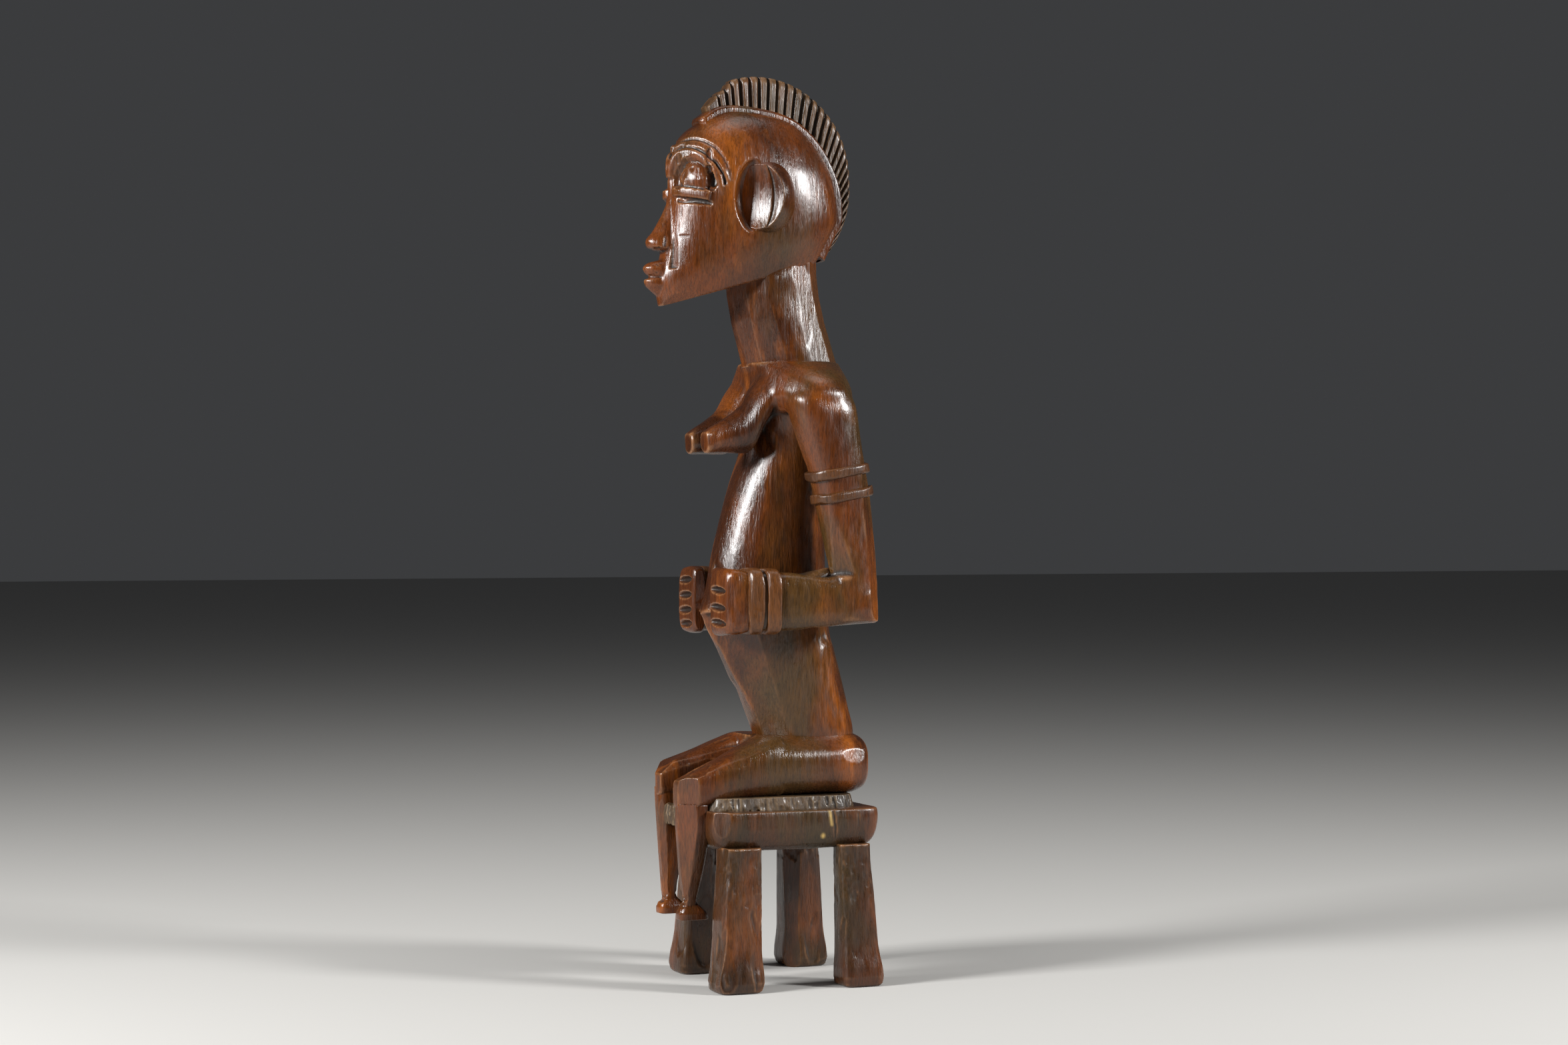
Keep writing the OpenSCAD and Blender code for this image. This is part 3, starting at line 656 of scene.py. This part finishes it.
ring_slope = 0.18   # the armlets tilt with the upper arm
for name, side in (("left", 1), ("right", -1)):
    for place, seed in (("upper", 70), ("lower", 74)):
        node = f"{name}_armlet_{place}"
        lo, hi = offset_of(node), offset_of(node, 1)
        d = shoulder_z - (lo[2] + hi[2]) / 2
        half = max((hi[2] - lo[2]) / 2 - 20.5 * ring_slope, 3.4)
        ringed([(arm_at(at, grow, ring_slope), (0, 0, 1), edge) for at, grow, edge in (
            (d - half, 0.3, 0), (d - half + 0.5, 1.9, 1), (d - half + 1.6, 2.4, 0.6),
            (d + half - 1.6, 2.4, 0.6), (d + half - 0.5, 1.9, 1), (d + half, 0.3, 0))], side, node, 0.8, seed + side)
    for place, seed in (("rear", 80), ("front", 84)):
        node = f"{name}_bracelet_{place}"
        front, back = offset_of(node)[1], offset_of(node, 1)[1]
        ringed([(forearm_at(at, grow), (0, 1, 0), edge) for at, grow, edge in (
            (back, 0.3, 0), (back - 0.5, 1.9, 1), (back - 1.8, 2.4, 0.6),
            (front + 1.8, 2.4, 0.6), (front + 0.5, 1.9, 1), (front, 0.3, 0))], side, node, 0.7, seed + side)

# ---- hands ----
# Flat mitten hands, brought round to the point of the belly. Short almond gouges across the front of each
# stand for the gaps between the fingers: three on the left hand, four on the right.

palm_z = elbow_top - 16
for name, side in (("left", 1), ("right", -1)):
    bm = bmesh.new()
    rings = []
    back = 0.4 if side > 0 else 3.2   # the right hand's fingers lie further back
    for x, y, turn, thick, tall in ((43, -36.5, 270, 10.5, 19.5), (43, -39, 270, 10.5, 20),
                                    (42.6, -42.6, 268, 10, 21), (42.2, -44.8, 256, 10, 21.4),
                                    (40.4, -46.2, 230, 9.2, 21.6), (36.5, -47.2, 203, 6.6, 22),
                                    (29, -47.7, 184, 5.5, 22.5), (20.5, -48, 180, 4.8, 21.4),
                                    (18.6, -48, 180, 3.6, 19.6)):
        t = math.radians(turn)
        place = (x, y + back * min((-y - 36.5) / 6, 1), palm_z)
        rings.append(ring(place, (-math.sin(t), math.cos(t), 0), (0, 0, 1), thick, tall, 4.2))
    skin(bm, flowing(rings, 4), side)
    hand = block_of(name + "_hand_carved", bm, 0.6)
    whittle(hand, 24, 7, 16, 0.06, 90 + side)
    # The corner between the back of the hand and the fingers is struck off in one narrow facet.
    pared(hand, (side * 48.6, -51.2 + back, palm_z), (side * 0.8, -0.6, 0.02))
    co = points_of(hand)
    gouge_long, gouge_tall, gouge_deep = 12.5, 2.5, 4.2
    for z in ((7.7, -3.6, -13.6) if side > 0 else (13.4, 3.2, -6.8, -16)):
        s = (co[:, 0] * side - 34) / gouge_long
        h = (co[:, 2] - palm_z - z + 0.05 * (co[:, 0] * side - 30)) / gouge_tall
        lens = np.clip((1 - s**2) - h**2, 0, 1) ** 0.6 * (co[:, 1] < -46.5 + back)
        co[:, 1] += gouge_deep * lens
    set_points(hand, co)
    finished(hand, figure_wood, "figure_wood", name + "_hand")

# ---- neck ----
# A stout column cut in long upright facets, set forward of the shoulders and running up under the jaw.

head_z = 469   # level of the jaw over the neck, from which the skull and the crest are measured
bm = bmesh.new()
skin(bm, flowing([level(0, y, collar_z + share * (head_z - collar_z), r - 1, r, 2.3, slope) for share, y, r, slope in (
    (-0.06, 11.5, 32, 0), (0, 11, 32, 0), (0.2, 7.5, 31.5, 0), (0.45, 3, 31, 0.05), (0.75, -0.5, 30, 0.16),
    (0.99, -2, 30, 0.29), (1.06, -2, 29, 0.29))], 6))
neck = block_of("neck_carved", bm, 0.9)
for turn, pull in ((-70, 30.2), (-38, 29.8), (-8, 30), (22, 29.6), (52, 30.4), (84, 30.2), (118, 30), (150, 29.6),
                   (182, 30.2), (214, 29.8), (248, 30.4)):
    t = math.radians(turn)
    n = (math.cos(t), math.sin(t), 0)
    co = points_of(neck)
    middle = np.interp(co[:, 2], (collar_z, collar_z + 12, collar_z + 27, collar_z + 44, head_z),
                       (11, 7.5, 3, -0.5, -2))
    h = co[:, 0] * n[0] + (co[:, 1] - middle) * n[1] - pull - np.interp(co[:, 2], (collar_z, head_z), (0.8, -0.6))
    co -= np.maximum(h, 0)[:, None] * np.array(n)
    set_points(neck, co)
whittle(neck, 20, 8, 40, 0.05, 95)
finished(neck, figure_wood, "figure_wood", "neck")

# ---- head ----
# A large head thrust forward, with a long jaw. Two raised arcs run over each eye, the eye is a dome above
# a straight heavy lid, the nose is a wedge and the small mouth pushes forward. Short scars mark the cheek.

ear_mid = (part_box("left_ear")[0].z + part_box("left_ear")[1].z) / mm / 2
ear_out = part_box("left_ear")[1].x / mm


def ear_floor(co):
    # The skin in the hollow before the ear: a steep wall down from the cheek, then a slant up to the rim.
    # Gives how far out it lies, which points it covers, and each one's share f of the way to the rim.
    h = np.clip((co[:, 2] - ear_mid) / 24.5, -1, 1)
    half = np.sqrt(1 - h**2)
    front, back = -26.5 - 14.5 * half, -26.5 + 15.5 * half
    f = np.clip((co[:, 1] - front) / np.maximum(back - front, 0.5), -1, 2)
    f = np.where(half < 0.08, -1, f)
    sink = 12.5 * half ** 1.4
    crown = (ear_out - 37.5) * half ** 0.8
    wall = np.where(f < 0.3, np.interp(f, (0, 0.08, 0.18, 0.3), (0, 0.6, 0.93, 1)) * sink, 0)
    slant = np.where(f >= 0.3, (f - 0.3) / 0.7 * (crown + sink) - sink, 0)
    return 36.2 - wall + slant, (f > 0) & (f < 1), f


bm = bmesh.new()
skull = []
for z, front, back, wide, slope, egg in ((-7.8, -81, 28, 25, 0.29, 0.35), (4, -83, 32, 30, 0.2, 0.3),
                                         (18, -79, 37, 34, 0.12, 0.22), (36, -75, 43.5, 36.5, 0.04, 0.1),
                                         (52, -73, 43, 37.5, 0, 0.02), (66, -72, 39.5, 37, 0, 0),
                                         (75, -71.5, 35, 35.5, 0, 0), (91, -63.5, 23, 30, 0, 0),
                                         (101, -50, 9, 23, 0, 0), (106, -42, -10, 13, 0, 0)):
    skull.append(level(0, (front + back) / 2, head_z + z, wide, (back - front) / 2, 2.3, slope, egg))
skin(bm, flowing(skull, 6))
head = block_of("head_carved", bm)
co = points_of(head)
for side in (1, -1):
    # The eye sockets, and the hollow in front of each ear.
    r2 = ((co[:, 0] * side - 18) / 13.5) ** 2 + ((co[:, 2] - 528) / 14) ** 2
    deep = 6.5 * np.clip(1 - r2, 0, 1) ** 0.6 * (co[:, 1] < -35)
    co[:, 0] -= side * deep * 0.55
    co[:, 1] += deep * 0.83
    floor_x, over, f = ear_floor(co)
    cut = over & (co[:, 0] * side > 15) & (np.abs(co[:, 2] - ear_mid) < 24.1)
    co[cut, 0] = side * np.minimum(co[cut, 0] * side, floor_x[cut] - np.clip(f[cut] - 0.3, 0, 0.2) * 5)
set_points(head, co)

# The nose, the two lips, and over each eye a brow line, the arc under it, the lid bar and the dome of the
# eye are laid on the skull and welded to it.
bm = bmesh.new()
bm.from_mesh(head.data)
bpy.data.objects.remove(head)
skin(bm, flowing([level(0, y, z, a, b, p) for y, z, a, b, p in (
    (-72, 482.5, 8, 11, 2.6), (-73, 484.5, 9.6, 15.5, 2.6), (-73, 488, 9.4, 16.9, 2.3), (-73, 494, 8.4, 12.8, 2.1),
    (-72, 502, 7, 9.0, 2.0), (-70, 510, 5.6, 7.0, 2.0), (-69, 518, 4.4, 5.0, 2.0), (-68, 528, 3.6, 6.2, 2.0),
    (-68, 538, 3.2, 5.4, 2.0), (-64, 546, 2, 3, 2.0))], 4))
skin(bm, flowing([level(0, y, z, a, b, 2.2) for y, z, a, b in (
    (-76, 476, 5.5, 6), (-77, 473.5, 7.2, 12.5), (-77, 470.5, 8.2, 14.8), (-77, 467, 7.6, 12.8),
    (-77, 465, 6.4, 9.6))], 4))
skin(bm, flowing([level(0, y, z, a, b, 2.2) for y, z, a, b in (
    (-77, 464.4, 6.0, 9.2), (-77, 462.6, 7.2, 14.2), (-77, 460, 7.2, 13.6), (-77, 456.5, 5.6, 10.4),
    (-76, 453, 5, 7))], 4))


def set_in(path, deep):
    # Moves a path inwards, level, towards the middle of the skull.
    path = np.array(path, float)
    out = path - np.array((0, -28, 0))
    out[:, 2] = 0
    return path - out / np.linalg.norm(out, axis=1)[:, None] * deep


brow = set_in([(2, -71.5, 549.5), (8.5, -68, 551.5), (14, -64.5, 551.3), (19, -61.5, 550), (23.5, -58, 547.5),
               (27.5, -54, 543), (30.5, -50.5, 537.5), (32.6, -47.5, 531), (33.4, -46, 525)], 1.8)
arc = set_in([(1.2, -75.5, 531), (2.4, -75, 537), (5, -73.3, 542.5), (9.5, -70.5, 545.5), (15, -67, 546.3),
              (20.5, -64, 545), (25.5, -59.5, 541), (29.5, -54.5, 535), (31.8, -50.8, 528), (32.6, -49.2, 520),
              (32.2, -49, 514)], 2.3)
lid = set_in([(5, -73.5, 520.8), (9, -73, 521), (13, -71.8, 520.8), (18, -68.6, 520), (23, -64.2, 519),
              (27, -59.8, 517.8), (29.2, -57, 516.8)], 1.9)
for side in (1, -1):
    skin(bm, flowing(rod(brow, [2.5] * 8 + [1.2], 2.8), 3), side)
    skin(bm, flowing(rod(arc, [2.2, 2.6, 3, 3.1, 3.1, 3.1, 3, 3, 2.8, 2.2, 1], 2.8), 3), side)
    skin(bm, flowing(rod(lid, [2.8, 3.3, 3.6, 3.7, 3.7, 3.6, 3.4], 4.5), 3), side)
    dome = []
    for share in (-1, -0.92, -0.75, -0.5, -0.25, 0, 0.25, 0.5, 0.75, 0.92, 1):
        c = np.array((17.5, -62.2, 527.5)) + np.array((0.8, 0.6, 0)) * 11.5 * share
        r = max(math.sqrt(max(1 - share**2, 0)), 0.08)
        dome.append(ring(c, (0.6, -0.8, 0), (0, 0, 1), 5.4 * r, 12.5 * r, 2.0, sides=24))
    skin(bm, dome, side)
head = block_of("head_carved", bm, 0.79)


def line_cut(*path, side=1, width=0.8, depth=0.7, **how):
    # A stroke of the knife on one side of the face.
    scored(head, [(side * x, y, z) for x, y, z in path], width, depth, **how)


for side in (1, -1):
    # Flat planes: the face beside the nose, the cheek, and the lower edge of the jaw.
    cheek = within(x=(10.5, far), y=(-far, -55), z=(470, 513), side=side)
    pared(head, (side * 18, -70.6, 492), (side * 0.42, -0.905, 0.03), cheek)
    pared(head, (side * 20.2, -68.6, 492), (side * 0.80, -0.60, 0.02), cheek)
    pared(head, (side * 23.5, -58, 461), (side * 0.78, -0.34, -0.52),
          within(x=(3, far), y=(-far, 12), z=(-far, 486), side=side))
    # Grooves: under the brow line, over it, over and under the lid, and down beside the nose.
    line_cut((2.5, -72, 545), (8, -68.5, 549), (15, -65.3, 549.3), (22, -61.5, 547.5), (26, -57, 544),
             (30, -52, 538.5), (32.5, -48, 531), (33, -47, 525), side=side, width=1.5, depth=1.5, lean=2)
    line_cut((5, -67, 553.5), (12, -65, 555), (17, -62, 554.8), (23, -57.5, 552.7), (28.5, -52, 548.3),
             (32, -48, 542), (34.2, -45, 535), (35, -43.5, 527), side=side, width=1.6, depth=1.0)
    line_cut((8, -74, 524.3), (13, -72.5, 524.3), (18, -69.2, 523.8), (23, -65, 522.8), (27.5, -60, 520.8),
             side=side, width=1.3, depth=1.3, lean=2)
    line_cut((12, -72.5, 514.8), (17, -69, 514.6), (22, -65, 513.8), (26.5, -60.5, 512.6), (29.5, -56, 511.8),
             side=side, width=2.0, depth=2.2, lean=2.5)
    line_cut((9, -80, 485), (9.5, -79, 492), (9.8, -77, 499), (12, -75, 508), side=side, width=1.4, depth=0.9)
    # Scars on the cheek, two level and two upright, then nicks at the mouth, the nostril and the brow.
    for z, low, high in ((498, 13, 22), (491.5, 11, 20)):
        line_cut((low, -77 + (low - 10) * 0.5, z), (high, -67.5, z - 0.6), side=side, width=1.0, depth=0.8)
    line_cut((16.6, -74, 490), (16, -75, 483.5), side=side, width=0.9, depth=0.9)
    line_cut((18.5, -72, 482), (17.4, -73, 472), side=side, width=0.9, depth=0.8)
    line_cut((6.5, -85, 473), (8.5, -82.5, 471), side=side)
    line_cut((6.5, -85, 467), (8.5, -82.5, 465), side=side)
    line_cut((4.5, -85, 483.4), (6.5, -83, 483.6), side=side, width=1.5, depth=1.6, into=(0, 0.3, 1))
    line_cut((9, -69.5, 552.5), (9.3, -68.7, 547), side=side)
    line_cut((11.5, -68.4, 552.5), (11.8, -67.4, 547), side=side)
line_cut((-6.5, -86, 465), (0, -90, 465.4), (6.5, -86, 465), width=1.2, depth=1.6, into=(0, 1, 0))


def plain_skull(co):
    # The skull and the jaw, without the face and the surroundings of the ears.
    off, z = np.abs(co[:, 0]), co[:, 2]
    by_ear = (off > 12) & (np.abs(co[:, 1] + 24) < 23) & (np.abs(z - ear_mid) < 30)
    return ((co[:, 1] > -44) | (z > 556) | ((z < 505) & (off > 19))) & ~by_ear


whittle(head, 80, 11, 22, 0.07, 101, plain_skull)
whittle(head, 90, 2.4, 4.5, 0.3, 102, within(x=(-28, 28), y=(-far, -52), z=(523, 543), off=8))
finished(head, figure_wood, "figure_wood", "head", "nose", "mouth")

# ---- ears ----
# Large round ears. A curved rim stands out from the side of the head, and in front of it a smooth shell
# slants down into the deep hollow.

for name, side in (("left", 1), ("right", -1)):
    (x0, _, z0), (x1, _, z1) = offset_of(name + "_ear"), offset_of(name + "_ear", 1)
    out_x = max(abs(x0), abs(x1))
    mid_y, mid_z, tall = -17.5, (z0 + z1) / 2, (z1 - z0) / 2
    bm = bmesh.new()
    mound = []
    for share in (0, 0.25, 0.45, 0.62, 0.76, 0.87, 0.95, 1.0):
        r = math.sqrt(max(1 - share**2.2, 0.006))
        place = (25 + (out_x - 25) * share, mid_y + 1.5 - share * 2, mid_z)
        mound.append(ring(place, (0, 1, 0), (0, 0, 1), 20.5 * r, tall * r, 2.1))
    skin(bm, flowing(mound, 4), side)
    ear = block_of(name + "_ear_carved", bm, 0.55)
    co = points_of(ear)
    floor_x, _, f = ear_floor(co)
    groove = 1.8 * np.clip(1 - np.abs(f - 0.86) / 0.055, 0, 1) * (np.abs(co[:, 2] - mid_z) < tall - 3)
    limit = np.where(f < 1, floor_x - groove - np.clip(0.32 - f, 0, 1) * 50, 99)
    limit = np.where(np.abs(co[:, 2] - mid_z) > 23.4, 27 + np.maximum(co[:, 1] + 24, 0) * 2.5, limit)
    cut = co[:, 0] * side > limit
    co[cut, 0] = side * np.maximum(limit[cut], 14)
    set_points(ear, co)
    eased(ear)
    whittle(ear, 30, 5, 12, 0.12, 110 + side, within(y=(-10, far)))
    finished(ear, figure_wood, "figure_wood", name + "_ear")

# ---- hairline band ----
# A raised fillet over the middle of the skull that carries the crest, with a small knob at the brow.

line = np.array([(-52.5, 99.2), (-48, 102.4), (-42, 106), (-10, 106), (9, 101), (23, 91), (35, 75), (43, 52),
                 (43.6, 38), (37, 24), (31, 11)]) + (0, head_z)
centre = np.array((-22, head_z + 50))


def along_skull(lift, steps=6):
    # The line down the middle of the skull, raised from it by so much.
    q = line + (line - centre) / np.linalg.norm(line - centre, axis=1)[:, None] * lift
    return np.array(flowing([np.array([[0, a, b]]) for a, b in q], steps)).reshape(-1, 3)


band_half = (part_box("hairline_band")[1].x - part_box("hairline_band")[0].x) / mm / 2
foot, top = along_skull(-5), along_skull(3.4)
bm = bmesh.new()
rings = []
for q, r in zip(foot, top):
    out = (r - q) / np.linalg.norm(r - q)
    rings.append(ring((q + r) / 2, (1, 0, 0), out, band_half, np.linalg.norm(r - q) / 2, 4.5, sides=40))
skin(bm, rings)
first = (foot[1] + top[1]) / 2
knob = []
for dy, dz, a, c in ((3, 0.5, 9, 3), (0.5, -0.5, 11, 5), (-1.5, -1.8, 10, 5), (-2.8, -2.6, 7.5, 3.5)):
    knob.append(ring((0, first[1] + dy, first[2] + dz), (1, 0, 0), (0, -0.55, 0.83), a, c, 2.4, sides=40))
skin(bm, flowing(knob, 3))
band = block_of("hairline_band_carved", bm, 0.6)
whittle(band, 60, 4, 10, 0.07, 120)

hair_wood = wood("hair_wood", (0.028, 0.013, 0.0045), (0.065, 0.027, 0.008), (0.15, 0.050, 0.011),
                 (0.042, 0.030, 0.010), 0.38, 1.0, 6.0, (0.14, 0.070, 0.026))
finished(band, figure_wood, "hair_wood", "hairline_band")

# ---- hair crest ----
# A thin upright crest from the brow to the nape. Each side is cut across with some thirty deep, straight
# V grooves like the teeth of a comb: upright at the front, leaning more and more down the back. Its points
# come ring by ring, so it goes without the weld, which would fill the grooves.

crest_half = (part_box("hair_crest")[1].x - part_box("hair_crest")[0].x) / mm / 2
base = along_skull(1.5, 40)
teeth, finer = 30, 10
crest = []
edge = [(-48.5, 110), (-46, 113.4), (-43, 116.8), (-39.5, 119.9), (-35, 122.4)]
for deg in np.arange(108, -48.1, -3):
    swell = 65 + max(0, -deg) / 8
    edge.append((-12 + swell * math.cos(math.radians(deg)), 66 + swell * math.sin(math.radians(deg))))
edge = np.array(edge)


def on_side(root, out, length, v, hand, groove):
    # A point on one side of the crest, a share v of the way up, sunk where a groove is cut.
    fade = min(1, v / 0.08) * (1 if v < 0.9 else 1 - (v - 0.9) * 2)
    x = crest_half * (1.0 if v < 0.86 else 1 - (v - 0.86) * 1.4) - groove * fade
    return root + out * length * v * 0.985 + np.array((hand * x, 0, 0))


run = np.concatenate([[0], np.cumsum(np.linalg.norm(np.diff(edge, axis=0), axis=1))])
for k in range(teeth * finer + 1):
    c = k / finer
    step = run[-1] * c / teeth
    tip = np.array((0, np.interp(step, run, edge[:, 0]), head_z + np.interp(step, run, edge[:, 1])))
    deg = math.degrees(math.atan2(tip[2] - head_z - 66, tip[1] + 12))
    lean = 90 + (deg - 90) * 0.3 if deg > 60 else 81 - (60 - deg) * 0.35
    way = np.array((0, -math.cos(math.radians(lean)), -math.sin(math.radians(lean))))
    rel = base - tip
    s = rel @ way
    off = np.linalg.norm(rel - s[:, None] * way, axis=1) + (s < 1.5) * 1e3 + s * 0.12
    root = base[np.argmin(off)]
    phase = c % 1
    cut = max(0.0, 1 - abs(phase - 0.5 - 0.06 * math.sin(k * 0.7)) / 0.23)
    cut = cut ** 0.75 if 0.9 < c < teeth - 0.2 else 0.0
    side_depth, edge_depth = 2.9 * cut, 0.7 * cut
    length = max(np.linalg.norm(tip - root), 0.5)
    out = (tip - root) / max(length, 0.1)
    # Up one side, over the edge, down the other side and along the foot.
    points = [on_side(root, out, length, v, 1, side_depth) for v in np.linspace(0, 1, 17)]
    for x in (0.62, 0.3, -0.3, -0.62):
        points.append(root + out * (length - edge_depth) + np.array((x * crest_half, 0, 0)))
    points += [on_side(root, out, length, v, -1, side_depth) for v in np.linspace(1, 0, 17)]
    for x in (-0.5, 0, 0.5):
        points.append(root - out * 1.5 + np.array((x * crest_half, 0, 0)))
    crest.append(np.array(points))
bm = bmesh.new()
skin(bm, crest)
bmesh.ops.recalc_face_normals(bm, faces=bm.faces)
mesh = bpy.data.meshes.new("hair_crest_carved")
bm.to_mesh(mesh)
bm.free()
comb = bpy.data.objects.new("hair_crest_carved", mesh)
bpy.context.scene.collection.objects.link(comb)
finished(comb, hair_wood, "hair_wood", "hair_crest")

# ---- studio ----
# A pale floor, a key light in front of the figure, a smaller one behind it on the left, and a weak wide one
# overhead. The camera stands level with the chest at the figure's left front.

bm = bmesh.new()
bmesh.ops.create_grid(bm, x_segments=1, y_segments=1, size=14)
mesh = bpy.data.meshes.new("floor")
bm.to_mesh(mesh)
bm.free()
floor = bpy.data.objects.new("floor", mesh)
bpy.context.scene.collection.objects.link(floor)
pale = bpy.data.materials.new("pale_floor")
pale.use_nodes = True
paint = pale.node_tree.nodes["Principled BSDF"]
paint.inputs["Base Color"].default_value = (0.46, 0.45, 0.43, 1)
paint.inputs["Roughness"].default_value = 0.8
floor.data.materials.append(pale)

world = bpy.data.worlds.new("studio")
bpy.context.scene.world = world
world.use_nodes = True
sky = world.node_tree.nodes["Background"]
sky.inputs["Color"].default_value = (0.80, 0.82, 0.86, 1)
sky.inputs["Strength"].default_value = 0.055

low, high = cad_box
middle = (low + high) / 2
for name, place, size, power in (("key", (0.3, -1.85, 0.75), 0.5, 74), ("rim", (1.25, 1.35, 0.7), 0.36, 46),
                                 ("top", (0.2, 0.1, 2.1), 1.2, 11)):
    light = bpy.data.lights.new(name, "AREA")
    light.size = size
    light.energy = power
    lamp = bpy.data.objects.new(name, light)
    lamp.location = middle + Vector(place)
    lamp.rotation_euler = (middle - lamp.location).to_track_quat("-Z", "Y").to_euler()
    bpy.context.scene.collection.objects.link(lamp)

lens = bpy.data.cameras.new("camera")
lens.lens = 69.5
lens.sensor_width = 36
camera = bpy.data.objects.new("camera", lens)
camera.location = (1.8710, -0.7483, 0.3036)
camera.rotation_euler = Vector((-0.9239, 0.3827, 0)).to_track_quat("-Z", "Y").to_euler()
bpy.context.scene.collection.objects.link(camera)
bpy.context.scene.camera = camera

bpy.context.scene.view_settings.view_transform = "Standard"
